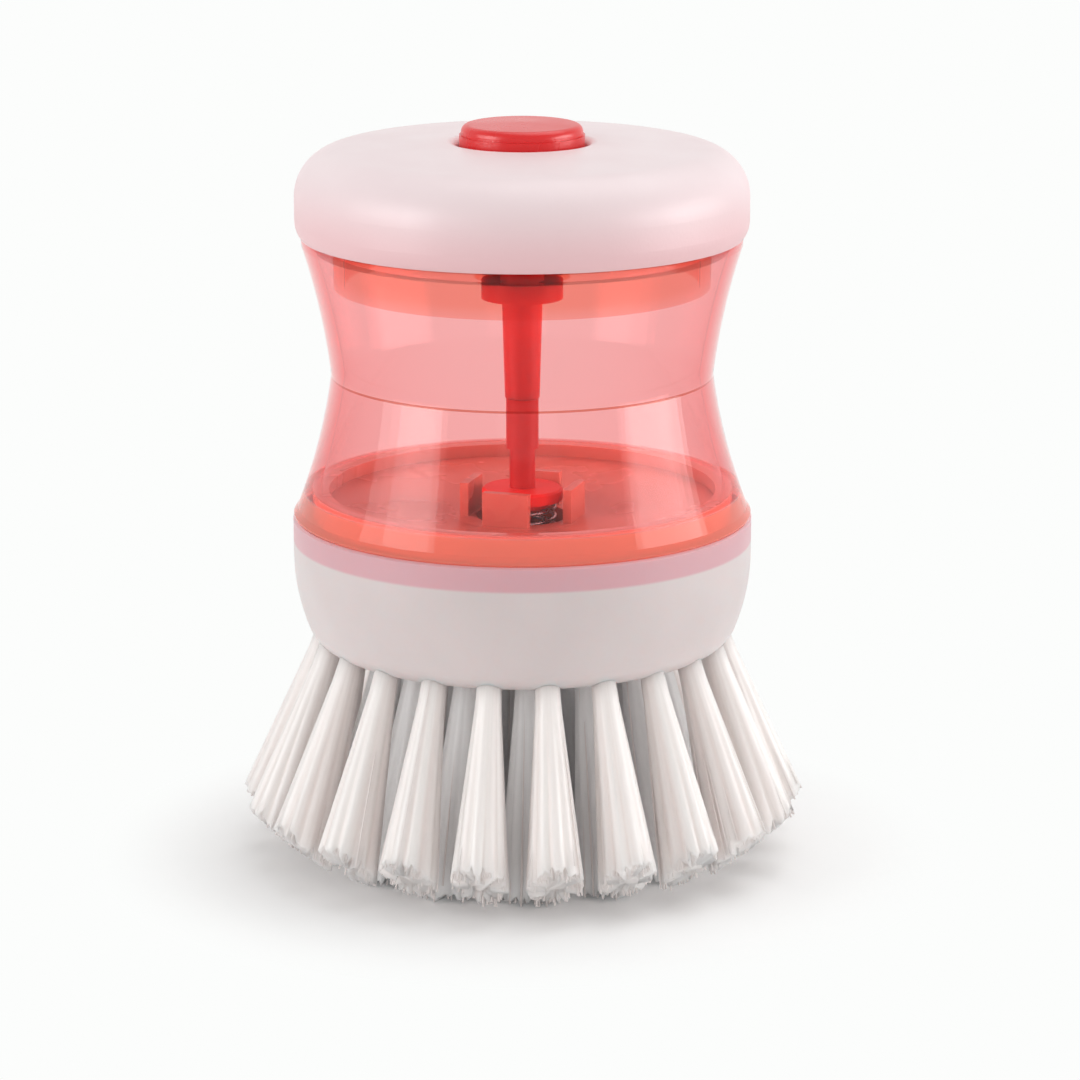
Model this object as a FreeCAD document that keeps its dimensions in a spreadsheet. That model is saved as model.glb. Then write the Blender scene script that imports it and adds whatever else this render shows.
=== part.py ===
import FreeCAD, Part
import math
import os
from types import SimpleNamespace

import Sketcher
from FreeCAD import Placement, Rotation, Vector

# A palm-held dish brush that dispenses soap: a round brush head, a transparent waisted reservoir
# above it and a screw cap with a push button. The button's stem pushes a rod down the axis, which
# opens a poppet valve in the reservoir's floor. Millimetres and degrees, +Z up, with the origin on
# the table under the middle of the brush, and the front of the object towards -Y.

SIZES = [
    # Levels, from the table up
    ("bristle_reach", 29.7, "bristle tips to the underside of the head"),
    ("head_height", 17.75, "underside of the head to the base seam"),
    ("reservoir_height", 38.0, "base seam to the reservoir's shoulder"),
    ("neck_height", 7.0, "shoulder to the neck's rim"),
    ("button_rise", 2.6, "how far the button stands above the cap"),
    ("button_travel", 3.2, "how far the button and the valve move"),
    # Brush
    ("tip_flat_past", 3.0, "flat cut across the tips, past the outer ring's roots"),
    ("tip_trim_angle", 42.0, "slope of the cut outside the flat"),
    ("tuft_turn", 15.4, "angle of the first tuft from +X"),
    ("tuft_root_radius", 1.55, "a tuft where it leaves its hole"),
    ("tuft_clearance", 0.05, "tuft to hole wall"),
    ("tuft_hole_depth", 7.5, "blind hole of a tuft"),
    ("tuft_lobes", 10, "lobes round a tuft's fan"),
    ("lobe_depth", 0.6, "grooves between a tuft's lobes at the table"),
    ("outer_tuft_count", 22, "tufts in the outer ring"),
    ("outer_root_inset", 4.1, "outer ring's roots inside the head's side"),
    ("outer_splay", 18.0, "outward lean of the outer ring"),
    ("outer_tip_depth", 5.4, "half of an outer tuft's fan at the table, outwards"),
    ("outer_tip_width", 4.5, "half of an outer tuft's fan at the table, round the ring"),
    ("middle_tuft_count", 14, "tufts in the middle ring"),
    ("middle_root_offset", 0.4, "middle ring's roots inside halfway between the other rings"),
    ("middle_fan_gap", 2.7, "middle ring's fans to the other rings' fans at the table"),
    ("middle_tip_width", 4.5, "half of a middle tuft's fan at the table, round the ring"),
    ("inner_tuft_count", 8, "tufts in the inner ring"),
    ("inner_root_wall", 2.6, "outlet chamber to the inner ring's holes"),
    ("inner_splay", 6.0, "outward lean of the inner ring"),
    ("inner_tip_depth", 3.6, "half of an inner tuft's fan at the table, outwards"),
    ("inner_tip_width", 3.9, "half of an inner tuft's fan at the table, round the ring"),
    ("anchor_fit", 0.15, "anchor plate to the wall of its hole"),
    ("anchor_height", 1.6, "anchor plate along the hole"),
    ("anchor_thickness", 0.4, "anchor plate"),
    # Brush head
    ("head_proud", 0.1, "head outside the reservoir at the base seam"),
    ("head_straight", 5.0, "upright part of the head's side"),
    ("head_flank_radius", 27.5, "curve of the head's side"),
    ("head_edge_radius", 4.0, "round between the side and the underside"),
    ("seam_bevel", 0.3, "bevel of the edges at both seams"),
    ("socket_wall", 2.7, "head's wall round the floor's skirt"),
    ("ledge_width", 2.8, "ledge that the floor's skirt stands on"),
    ("ring_wall", 1.8, "wall of the ring round the valve well"),
    ("ring_height", 3.6, "ring round the valve well"),
    ("ring_clearance", 0.25, "valve well to its ring"),
    ("chamber_radius", 6.0, "outlet chamber below the valve"),
    ("chamber_clearance", 0.5, "open rod to the chamber's floor"),
    ("outlet_radius", 3.1, "soap outlet"),
    # Reservoir floor
    ("skirt_clearance", 0.05, "floor's skirt to its sockets"),
    ("skirt_wall", 2.15, "floor's skirt"),
    ("skirt_above", 3.5, "skirt above the base seam"),
    ("skirt_below", 3.3, "skirt below the base seam"),
    ("skirt_gap", 0.3, "top of the skirt to the reservoir's ledge"),
    ("groove_rise", 1.0, "gasket groove above the base seam"),
    ("groove_width", 1.4, "gasket groove"),
    ("groove_depth", 1.0, "gasket groove"),
    ("floor_edge_drop", 1.7, "skirt's top to the edge of the dished floor"),
    ("floor_drop", 3.9, "skirt's top to the middle of the dished floor"),
    ("floor_flat_radius", 9.0, "flat middle of the floor"),
    ("floor_thickness", 1.8, "dished floor"),
    ("disc_clearance", 0.8, "disc on the spring to the valve well"),
    ("well_wall", 1.7, "valve well's wall"),
    ("well_depth", 4.6, "middle of the floor to the bottom of the well"),
    ("seat_radius", 3.0, "hole that the poppet closes"),
    ("seat_thickness", 1.6, "bottom of the well"),
    ("outlet_gasket_thickness", 0.8, "gasket under the well"),
    ("tab_count", 4, "upright tabs round the well"),
    ("tab_turn", 73.0, "angle of the first tab from +X"),
    ("tab_gap", 0.4, "well's edge to a tab"),
    ("tab_thickness", 1.2, "tab"),
    ("tab_width", 6.4, "tab"),
    ("tab_rise", 4.2, "tab's top above the base seam"),
    ("tab_root", 0.8, "tab's foot below the floor"),
    # Reservoir
    ("base_radius", 31.0, "reservoir at the base seam"),
    ("base_band", 0.5, "upright edge at the base seam"),
    ("base_step_in", 0.55, "bevel above that edge, inwards"),
    ("base_step_up", 0.8, "bevel above that edge, upwards"),
    ("waist_depth", 5.23, "narrowest place of the reservoir, inside its base"),
    ("waist_rise", 19.4, "waist above the base seam"),
    ("lower_flank_radius", 78.0, "hollow curve below the waist"),
    ("upper_flank_radius", 95.0, "hollow curve above the waist"),
    ("shoulder_width", 2.4, "shoulder under the cap, outside the neck"),
    ("shoulder_band", 0.8, "upright edge under the cap"),
    ("shoulder_thickness", 1.6, "shoulder inside the cap"),
    ("reservoir_wall", 1.9, "reservoir's wall"),
    ("floor_ledge", 1.0, "ledge above the floor's skirt"),
    ("neck_inset", 3.8, "neck inside the reservoir's base"),
    ("neck_wall", 1.6, "neck"),
    ("neck_bevel", 0.4, "outer edge of the neck's rim"),
    # Thread
    ("thread_pitch", 3.0, "rise of the thread in a turn"),
    ("thread_turns", 1.0, "length of each ridge, in turns"),
    ("thread_rise", 2.7, "start of the neck's ridge above the shoulder"),
    ("thread_height", 0.85, "ridge above the wall that carries it"),
    ("thread_root", 1.5, "width of a ridge at its foot"),
    ("thread_crest", 0.7, "width of a ridge at its crest"),
    ("thread_sink", 0.2, "foot of a ridge inside its wall"),
    ("thread_clearance", 0.35, "crest to the wall it faces"),
    # Cap
    ("cap_gap", 0.25, "cap to the reservoir's shoulder"),
    ("cap_wall", 2.05, "cap"),
    ("cap_foot_in", 0.75, "cap's lower edge inside its widest place"),
    ("cap_foot_rise", 2.2, "cap's lower edge to its upright side"),
    ("cap_foot_radius", 3.6, "round of the cap's lower edge"),
    ("cap_shoulder_radius", 6.4, "round between the cap's side and top"),
    ("cap_crown", 0.8, "rise of the cap's top towards the button"),
    ("button_clearance", 0.4, "button to its well"),
    ("well_edge_radius", 1.2, "round at the mouth of the button's well"),
    ("guide_wall", 1.4, "tube that guides the button"),
    ("guide_length", 4.4, "top of the cap to the end of the guide"),
    ("rib_inset", 0.3, "pressing rib inside the closure's lip"),
    ("rib_width", 1.2, "rib that presses on the closure"),
    ("rib_height", 0.75, "that rib below the roof's outer edge"),
    # Closure under the cap
    ("cap_gasket_thickness", 0.8, "gasket on the neck's rim"),
    ("gasket_inset", 0.05, "gasket inside the edges of the rim"),
    ("plug_clearance", 0.3, "closure to the neck"),
    ("plug_wall", 1.5, "closure's side"),
    ("plug_drop", 6.6, "shoulder to the closure's lower edge"),
    ("cup_recess", 1.1, "closure's lower edge to the cup that holds the stem's seal"),
    ("plate_thickness", 1.8, "closure's plate and the floor of its cup"),
    ("flange_width", 0.9, "closure's flange on the gasket"),
    ("flange_thickness", 1.4, "closure's flange"),
    ("lip_width", 1.4, "closure's lip inside its side"),
    ("cup_wall", 1.6, "cup that holds the stem's seal"),
    ("cup_lip", 2.2, "seal's retainer to the top of the cup"),
    ("seal_thickness", 2.0, "stem seal"),
    ("seal_width", 1.7, "stem seal"),
    ("seal_fit", 0.08, "stem seal to stem"),
    ("retainer_thickness", 1.1, "retainer of the stem seal"),
    ("retainer_fit", 0.05, "retainer and seal to their boss"),
    # Button and stem
    ("button_radius", 8.4, "button"),
    ("button_depth", 8.8, "button's top to its lower edge"),
    ("button_wall", 1.5, "button's side"),
    ("button_top", 2.0, "button's top"),
    ("button_crown", 0.3, "crown of the button's top"),
    ("button_edge_radius", 1.0, "round of the button's top edge"),
    ("button_step", 0.25, "step below the button's top edge"),
    ("button_step_drop", 1.7, "button's top to that step"),
    ("button_boss_wall", 1.55, "boss that takes the stem"),
    ("button_boss_drop", 11.2, "button's top to the end of the boss"),
    ("stem_peg_radius", 2.5, "stem inside the button"),
    ("stem_peg_fit", 0.05, "stem to the button's boss"),
    ("stem_radius", 3.0, "stem through the closure"),
    ("stem_clearance", 0.3, "stem to the closure's plate"),
    ("stem_flange_radius", 5.5, "stop under the closure's plate"),
    ("stem_flange_thickness", 2.5, "stop under the closure's plate"),
    ("stem_flange_gap", 0.4, "stop to the plate"),
    ("stem_shank_radius", 2.75, "stem below its stop"),
    ("stem_end_radius", 2.35, "stem's lower end"),
    ("stem_gap", 0.1, "stem's end to the rod's shoulder"),
    ("stem_bore_spare", 3.0, "stem's bore above the rod's peg"),
    # Valve
    ("rod_head_radius", 2.2, "thick upper end of the rod"),
    ("rod_shoulder_rise", 15.9, "rod's shoulder above the base seam"),
    ("rod_step_rise", 9.0, "rod's step above the base seam"),
    ("rod_radius", 1.75, "rod above its disc"),
    ("rod_tail_radius", 1.4, "rod through the valve"),
    ("rod_tail_end", 0.45, "rod below the clip"),
    ("rod_fit", 0.02, "rod to the pieces on it"),
    ("rod_peg_radius", 1.3, "peg that guides the rod in the stem"),
    ("rod_peg_length", 5.0, "peg that guides the rod in the stem"),
    ("rod_peg_clearance", 0.3, "peg to the stem's bore"),
    ("disc_rise", 3.5, "disc's top above the base seam"),
    ("disc_radius", 5.5, "disc on the spring"),
    ("disc_thickness", 1.6, "disc on the spring"),
    ("disc_bevel", 0.3, "upper edge of the disc"),
    ("hub_radius", 3.7, "hub that centres the spring"),
    ("hub_length", 1.0, "hub that centres the spring"),
    ("poppet_gap", 0.05, "poppet to its seat"),
    ("poppet_radius", 4.6, "poppet"),
    ("poppet_thickness", 2.0, "poppet"),
    ("poppet_taper", 1.2, "poppet's lower edge inside its rim"),
    ("poppet_rim", 1.0, "height of the poppet's rim"),
    ("clip_radius", 2.7, "clip under the poppet"),
    ("clip_thickness", 0.8, "clip under the poppet"),
    ("clip_groove", 0.45, "groove for the clip"),
    ("wire_radius", 0.3, "spring's wire"),
    ("coil_clearance", 0.4, "spring to the hub inside it"),
    ("coil_turns", 4.5, "turns of the spring"),
    ("coil_gap", 0.05, "spring to its two seats"),
]


class Size:
    """A number together with the sheet formula that works it out."""

    def __init__(self, value, formula):
        self.value = value
        self.formula = formula

    def __add__(self, other):
        return Size(self.value + other.value, f"({self.formula} + {other.formula})")

    def __sub__(self, other):
        return Size(self.value - other.value, f"({self.formula} - {other.formula})")

    def __mul__(self, other):
        return Size(self.value * other.value, f"({self.formula} * {other.formula})")

    def __truediv__(self, other):
        return Size(self.value / other.value, f"({self.formula} / {other.formula})")

    def root(self):
        return Size(math.sqrt(self.value), f"sqrt({self.formula})")

    def sine(self):
        return Size(math.sin(math.radians(self.value)), f"sin({self.formula})")

    def cosine(self):
        return Size(math.cos(math.radians(self.value)), f"cos({self.formula})")

    def tangent(self):
        return Size(math.tan(math.radians(self.value)), f"tan({self.formula})")

    def arctangent(self):
        return Size(math.degrees(math.atan(self.value)), f"atan({self.formula})")


AXIS = Size(0.0, "0")
HALF = Size(0.5, "0.5")
LEFT = 1
RIGHT = -1
UP = Vector(0, 0, 1)

doc = FreeCAD.newDocument("palm_brush")
sheet = doc.addObject("Spreadsheet::Sheet", "sizes")
for row, (alias, number, meaning) in enumerate(SIZES, start=1):
    sheet.set(f"A{row}", meaning)
    sheet.set(f"B{row}", str(number))
    sheet.setAlias(f"B{row}", alias)
doc.recompute()

s = SimpleNamespace(**{alias: Size(float(getattr(sheet, alias)), f"sizes.{alias}") for alias, _, _ in SIZES})
sub_parts = []


def arc_middle(start, end, radius, side):
    """The middle of the arc from start to end that bulges to the given side of the way it goes."""
    along = end - start
    half = along.Length / 2
    rise = radius - math.sqrt(radius * radius - half * half)
    outward = Vector(-along.y, along.x, 0).normalize() * side
    return (start + end) * 0.5 + outward * rise


def draw_outline(body, name, role, points):
    """A closed sketch on one of the body's own planes, each corner tied to the sheet.

    A point is (x, y), reached by a straight edge, or (x, y, radius, side), reached by an arc."""
    sketch = body.newObject("Sketcher::SketchObject", name)
    plane = next(feature for feature in body.Origin.OriginFeatures if feature.Role == role)
    sketch.AttachmentSupport = (plane, [""])
    sketch.MapMode = "FlatFace"

    edges = []
    constraints = []
    bindings = []
    for index, point in enumerate(points):
        before = points[index - 1]
        start = Vector(before[0].value, before[1].value, 0)
        end = Vector(point[0].value, point[1].value, 0)
        if len(point) == 2:
            edge = sketch.addGeometry(Part.LineSegment(start, end))
            edges.append((edge, 1, 2))
        else:
            radius, side = point[2:]
            middle = arc_middle(start, end, radius.value, side)
            edge = sketch.addGeometry(Part.ArcOfCircle(start, middle, end))
            forward = sketch.getPoint(edge, 1).distanceToPoint(start) < start.distanceToPoint(end) / 2
            edges.append((edge, 1, 2) if forward else (edge, 2, 1))
            bindings.append((len(constraints), radius))
            constraints.append(Sketcher.Constraint("Radius", edge, radius.value))

    for index, point in enumerate(points):
        edge, _, last = edges[index]
        following, first, _ = edges[(index + 1) % len(edges)]
        constraints.append(Sketcher.Constraint("Coincident", edge, last, following, first))
        if point[0] is AXIS:
            constraints.append(Sketcher.Constraint("PointOnObject", edge, last, -2))
        else:
            bindings.append((len(constraints), point[0]))
            constraints.append(Sketcher.Constraint("DistanceX", -1, 1, edge, last, point[0].value))
        bindings.append((len(constraints), point[1]))
        constraints.append(Sketcher.Constraint("DistanceY", -1, 1, edge, last, point[1].value))
    sketch.addConstraint(constraints)
    for index, size in bindings:
        sketch.setExpression(f"Constraints[{index}]", size.formula)
    return sketch


def turned_body(label, points):
    """A body turned about Z from the outline of its right half."""
    body = doc.addObject("PartDesign::Body", label)
    sketch = draw_outline(body, f"{label}_outline", "XZ_Plane", points)
    turn = body.newObject("PartDesign::Revolution", f"{label}_turn")
    turn.Profile = sketch
    turn.ReferenceAxis = (sketch, ["V_Axis"])
    turn.Angle = 360
    body.Tip = turn
    sub_parts.append(body)
    return body


def ring_outline(inner, outer, bottom, top):
    """The section of a plain ring."""
    return [(inner, bottom), (outer, bottom), (outer, top), (inner, top)]


def repeat_round(body, feature, count):
    """Copies a feature of the body evenly round Z."""
    pattern = body.newObject("PartDesign::PolarPattern", f"{feature.Name}_ring")
    pattern.Originals = [feature]
    pattern.Axis = (next(f for f in body.Origin.OriginFeatures if f.Role == "Z_Axis"), [""])
    pattern.Angle = 360
    pattern.setExpression("Occurrences", count.formula)
    body.Tip = pattern


def turn_body(body, angle):
    """Turns a whole body about Z."""
    body.Placement = Placement(Vector(0, 0, 0), Rotation(UP, angle.value))
    body.setExpression("Placement.Rotation.Angle", angle.formula)


def add_thread(body, name, wall, crest, level):
    """A right-hand ridge on a wall of the body, from its foot inside the wall to its crest."""
    foot = s.thread_root * HALF
    edge = s.thread_crest * HALF
    section = [(wall, level - foot), (crest, level - edge), (crest, level + edge), (wall, level + foot)]
    sketch = draw_outline(body, f"{name}_section", "XZ_Plane", section)
    ridge = body.newObject("PartDesign::AdditiveHelix", name)
    ridge.Profile = sketch
    ridge.ReferenceAxis = (sketch, ["V_Axis"])
    ridge.Mode = "pitch-turns-angle"
    ridge.setExpression("Pitch", s.thread_pitch.formula)
    ridge.setExpression("Turns", s.thread_turns.formula)
    body.Tip = ridge


def solid_feature(label, shape):
    """A sub-part whose shape is worked out from the sheet's values."""
    feature = doc.addObject("Part::Feature", label)
    feature.Shape = shape
    feature.Placement = Placement()
    sub_parts.append(feature)
    return feature


# Levels that several pieces share
underside = s.bristle_reach
base_seam = underside + s.head_height
waist = base_seam + s.waist_rise
shoulder = base_seam + s.reservoir_height
neck_rim = shoulder + s.neck_height

skirt_top = base_seam + s.skirt_above
skirt_bottom = base_seam - s.skirt_below
floor_edge = skirt_top - s.floor_edge_drop
floor_middle = skirt_top - s.floor_drop
well_floor = floor_middle - s.well_depth
seat = well_floor - s.seat_thickness
block_top = seat - s.outlet_gasket_thickness

disc_top = base_seam + s.disc_rise
disc_bottom = disc_top - s.disc_thickness
rod_step = base_seam + s.rod_step_rise
rod_shoulder = base_seam + s.rod_shoulder_rise
rod_top = rod_shoulder + s.rod_peg_length
poppet_top = seat - s.poppet_gap
poppet_bottom = poppet_top - s.poppet_thickness
clip_bottom = poppet_bottom - s.clip_thickness
rod_end = clip_bottom - s.rod_tail_end
chamber_floor = rod_end - s.button_travel - s.chamber_clearance

plug_bottom = shoulder - s.plug_drop
cup_bottom = plug_bottom + s.cup_recess
cup_floor = cup_bottom + s.plate_thickness
seal_top = cup_floor + s.seal_thickness
retainer_top = seal_top + s.retainer_thickness
gasket_top = neck_rim + s.cap_gasket_thickness
flange_top = gasket_top + s.flange_thickness
cap_top = flange_top + s.rib_height + s.cap_wall + s.cap_crown
button_top = cap_top + s.button_rise
boss_end = button_top - s.button_boss_drop

# Radii that several pieces share
head_radius = s.base_radius + s.head_proud
socket_radius = head_radius - s.socket_wall
skirt_radius = socket_radius - s.skirt_clearance
skirt_inner = skirt_radius - s.skirt_wall
groove_radius = skirt_radius - s.groove_depth
well_radius = s.disc_radius + s.disc_clearance
well_outer = well_radius + s.well_wall
hole_radius = s.tuft_root_radius + s.tuft_clearance
waist_radius = s.base_radius - s.waist_depth
neck_radius = s.base_radius - s.neck_inset
shoulder_radius = neck_radius + s.shoulder_width
neck_inner = neck_radius - s.neck_wall
plug_radius = neck_inner - s.plug_clearance
plug_inner = plug_radius - s.plug_wall
thread_wall = neck_radius + s.thread_height + s.thread_clearance
cap_radius = thread_wall + s.cap_wall
stem_bore = s.rod_peg_radius + s.rod_peg_clearance

# The rings of tufts. The middle ring stands between the other two, at its roots and at its tips.
outer_circle = head_radius - s.outer_root_inset
inner_circle = s.chamber_radius + s.inner_root_wall + hole_radius
middle_circle = (outer_circle + inner_circle) * HALF - s.middle_root_offset
outer_tips = outer_circle + underside * s.outer_splay.tangent()
inner_tips = inner_circle + underside * s.inner_splay.tangent()
outer_fan_start = outer_tips - s.outer_tip_depth / s.outer_splay.cosine()
inner_fan_end = inner_tips + s.inner_tip_depth / s.inner_splay.cosine()
middle_tips = (outer_fan_start + inner_fan_end) * HALF
middle_splay = ((middle_tips - middle_circle) / underside).arctangent()
middle_reach = (outer_fan_start - inner_fan_end) * HALF - s.middle_fan_gap
middle_depth = middle_reach * middle_splay.cosine()


def tuft_ring(name, count, root_circle, splay, tip_depth, tip_width):
    """What sets one ring of tufts apart from the others."""
    return SimpleNamespace(
        name=name, count=count, root_circle=root_circle,
        splay=splay, tip_depth=tip_depth, tip_width=tip_width,
    )


tuft_rings = [
    tuft_ring("outer", s.outer_tuft_count, outer_circle, s.outer_splay, s.outer_tip_depth, s.outer_tip_width),
    tuft_ring("middle", s.middle_tuft_count, middle_circle, middle_splay, middle_depth, s.middle_tip_width),
    tuft_ring("inner", s.inner_tuft_count, inner_circle, s.inner_splay, s.inner_tip_depth, s.inner_tip_width),
]


def make_brush_head():
    """The head: socket above, outlet chamber in the middle, tuft holes in the underside."""
    flank_middle = head_radius - s.head_flank_radius
    flank_top = base_seam - s.head_straight
    reach = s.head_flank_radius - s.head_edge_radius
    edge_level = underside + s.head_edge_radius
    drop = flank_top - edge_level
    edge_run = (reach * reach - drop * drop).root()
    edge_middle = flank_middle + edge_run
    flank_end = flank_middle + edge_run * s.head_flank_radius / reach
    flank_end_level = flank_top - drop * s.head_flank_radius / reach
    cavity_radius = socket_radius - s.ledge_width
    ring_inner = well_outer + s.ring_clearance
    ring_outer = ring_inner + s.ring_wall
    ring_top = block_top + s.ring_height
    body = turned_body("brush_head", [
        (s.outlet_radius, underside),
        (edge_middle, underside),
        (flank_end, flank_end_level, s.head_edge_radius, RIGHT),
        (head_radius, flank_top, s.head_flank_radius, RIGHT),
        (head_radius, base_seam - s.seam_bevel),
        (head_radius - s.seam_bevel, base_seam),
        (socket_radius, base_seam),
        (socket_radius, skirt_bottom),
        (cavity_radius, skirt_bottom),
        (cavity_radius, block_top),
        (ring_outer, block_top),
        (ring_outer, ring_top),
        (ring_inner, ring_top),
        (ring_inner, block_top),
        (s.chamber_radius, block_top),
        (s.chamber_radius, chamber_floor),
        (s.outlet_radius, chamber_floor),
    ])
    for ring in tuft_rings:
        hole = body.newObject("PartDesign::SubtractiveCylinder", f"{ring.name}_hole")
        start = ring.root_circle + s.head_edge_radius * ring.splay.sine()
        level = underside - s.head_edge_radius * ring.splay.cosine()
        lean = Rotation(Vector(0, -1, 0), ring.splay.value)
        hole.Placement = Placement(Vector(start.value, 0, level.value), lean)
        hole.setExpression("Placement.Base.x", start.formula)
        hole.setExpression("Placement.Base.z", level.formula)
        hole.setExpression("Placement.Rotation.Angle", ring.splay.formula)
        hole.setExpression("Radius", hole_radius.formula)
        hole.setExpression("Height", (s.tuft_hole_depth + s.head_edge_radius).formula)
        repeat_round(body, hole, ring.count)
    turn_body(body, s.tuft_turn)


def trim_envelope():
    """The space that the trimmed bristles keep to: flat in the middle, sloping up outside."""
    reach = underside.value + head_radius.value
    flat = (outer_circle + s.tip_flat_past).value
    slope = math.tan(math.radians(s.tip_trim_angle.value))
    top = base_seam.value + reach * slope
    corners = [(0, 0), (flat, 0), (flat + reach, reach * slope), (flat + reach, top), (0, top), (0, 0)]
    section = Part.Face(Part.makePolygon([Vector(x, 0, z) for x, z in corners]))
    return section.revolve(Vector(0, 0, 0), UP, 360)


def ring_copies(shape, count):
    """Copies of a shape evenly round Z, the first one turned as the head is."""
    step = 360 / count
    return [shape.rotated(Vector(0, 0, 0), UP, s.tuft_turn.value + step * index) for index in range(count)]


def lobed_oval(half_x, half_y, groove, level):
    """An oval wire about Z at a level, of one arc for each lobe, with grooves that deep between them."""
    count = int(s.tuft_lobes.value)

    def point(half_lobes, drop):
        angle = math.pi * half_lobes / count
        return Vector((half_x - drop) * math.cos(angle), (half_y - drop) * math.sin(angle), level)

    middles = range(0, 2 * count, 2)
    return Part.Wire([Part.Arc(point(m - 1, groove), point(m, 0), point(m + 1, groove)).toShape() for m in middles])


def make_tufts(ring):
    """One ring of tufts, each round in its hole and fanned out in lobes to the trimmed tips."""
    root = s.tuft_root_radius.value
    depth, width = ring.tip_depth.value, ring.tip_width.value
    length = underside.value / math.cos(math.radians(ring.splay.value))
    past_table = 1 + depth / length
    half_depth = root + (depth - root) * past_table
    half_width = root + (width - root) * past_table
    tip = lobed_oval(half_depth, half_width, s.lobe_depth.value * past_table, length * past_table)
    in_hole = s.tuft_hole_depth.value - s.anchor_height.value
    sections = [lobed_oval(root, root, 0, -in_hole), lobed_oval(root, root, 0, 0), tip]
    tuft = Part.makeLoft(sections, True, True)
    mouth = Vector(ring.root_circle.value, 0, underside.value)
    tuft.Placement = Placement(mouth, Rotation(Vector(0, 1, 0), 180 - ring.splay.value))
    trimmed = tuft.common(trim_envelope()).Solids[0]
    solid_feature(f"bristles_{ring.name}", Part.makeCompound(ring_copies(trimmed, int(ring.count.value))))


def make_tuft_anchors():
    """The plates that hold the folded tufts at the ends of their holes."""
    plates = []
    width = 2 * (hole_radius - s.anchor_fit).value
    height = s.anchor_height.value
    thickness = s.anchor_thickness.value
    for ring in tuft_rings:
        plate = Part.makeBox(thickness, width, height, Vector(-thickness / 2, -width / 2, 0))
        plate.translate(Vector(0, 0, s.tuft_hole_depth.value - height))
        plate.rotate(Vector(0, 0, 0), Vector(0, -1, 0), ring.splay.value)
        plate.translate(Vector(ring.root_circle.value, 0, underside.value))
        plates += ring_copies(plate, int(ring.count.value))
    solid_feature("tuft_anchors", Part.makeCompound(plates))


def make_reservoir():
    """The transparent body: two hollow curves that meet at the waist, and a threaded neck."""
    flank_start = s.base_radius - s.base_step_in
    flank_level = base_seam + s.base_band + s.base_step_up
    shoulder_edge = shoulder - s.shoulder_band
    ceiling = shoulder - s.shoulder_thickness
    ledge = skirt_top + s.skirt_gap
    counterbore = skirt_radius + s.skirt_clearance
    body = turned_body("reservoir", [
        (counterbore, base_seam),
        (s.base_radius - s.seam_bevel, base_seam),
        (s.base_radius, base_seam + s.seam_bevel),
        (s.base_radius, base_seam + s.base_band),
        (flank_start, flank_level),
        (waist_radius, waist, s.lower_flank_radius, LEFT),
        (shoulder_radius, shoulder_edge, s.upper_flank_radius, LEFT),
        (shoulder_radius, shoulder - s.seam_bevel),
        (shoulder_radius - s.seam_bevel, shoulder),
        (neck_radius, shoulder),
        (neck_radius, neck_rim - s.neck_bevel),
        (neck_radius - s.neck_bevel, neck_rim),
        (neck_inner, neck_rim),
        (neck_inner, ceiling),
        (shoulder_radius - s.reservoir_wall, ceiling),
        (waist_radius - s.reservoir_wall, waist, s.upper_flank_radius + s.reservoir_wall, RIGHT),
        (counterbore - s.floor_ledge, ledge, s.lower_flank_radius + s.reservoir_wall, RIGHT),
        (counterbore, ledge),
    ])
    foot = neck_radius - s.thread_sink
    add_thread(body, "neck_thread", foot, neck_radius + s.thread_height, shoulder + s.thread_rise)


def make_floor():
    """The dished floor with its skirt, valve well and tabs, and the two gaskets that seal it."""
    groove_bottom = base_seam + s.groove_rise
    groove_top = groove_bottom + s.groove_width
    body = turned_body("floor_plate", [
        (s.seat_radius, seat),
        (well_outer, seat),
        (well_outer, floor_middle - s.floor_thickness),
        (s.floor_flat_radius, floor_middle - s.floor_thickness),
        (skirt_inner, floor_edge - s.floor_thickness),
        (skirt_inner, skirt_bottom),
        (skirt_radius, skirt_bottom),
        (skirt_radius, groove_bottom),
        (groove_radius, groove_bottom),
        (groove_radius, groove_top),
        (skirt_radius, groove_top),
        (skirt_radius, skirt_top),
        (skirt_inner, skirt_top),
        (skirt_inner, floor_edge),
        (s.floor_flat_radius, floor_middle),
        (well_radius, floor_middle),
        (well_radius, well_floor),
        (s.seat_radius, well_floor),
    ])
    tab_inner = well_radius + s.tab_gap
    tab_outer = tab_inner + s.tab_thickness
    tab_top = base_seam + s.tab_rise
    tab_bottom = floor_middle - s.tab_root
    section = ring_outline(tab_inner, tab_outer, tab_bottom, tab_top)
    sketch = draw_outline(body, "tab_outline", "XZ_Plane", section)
    tab = body.newObject("PartDesign::Pad", "tab")
    tab.Profile = sketch
    tab.SideType = "Symmetric"
    tab.setExpression("Length", s.tab_width.formula)
    repeat_round(body, tab, s.tab_count)
    turn_body(body, s.tab_turn)

    seal_radius = skirt_radius + s.skirt_clearance * HALF
    turned_body("floor_gasket", ring_outline(groove_radius, seal_radius, groove_bottom, groove_top))
    turned_body("outlet_gasket", ring_outline(s.chamber_radius, well_outer, block_top, seat))


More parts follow.
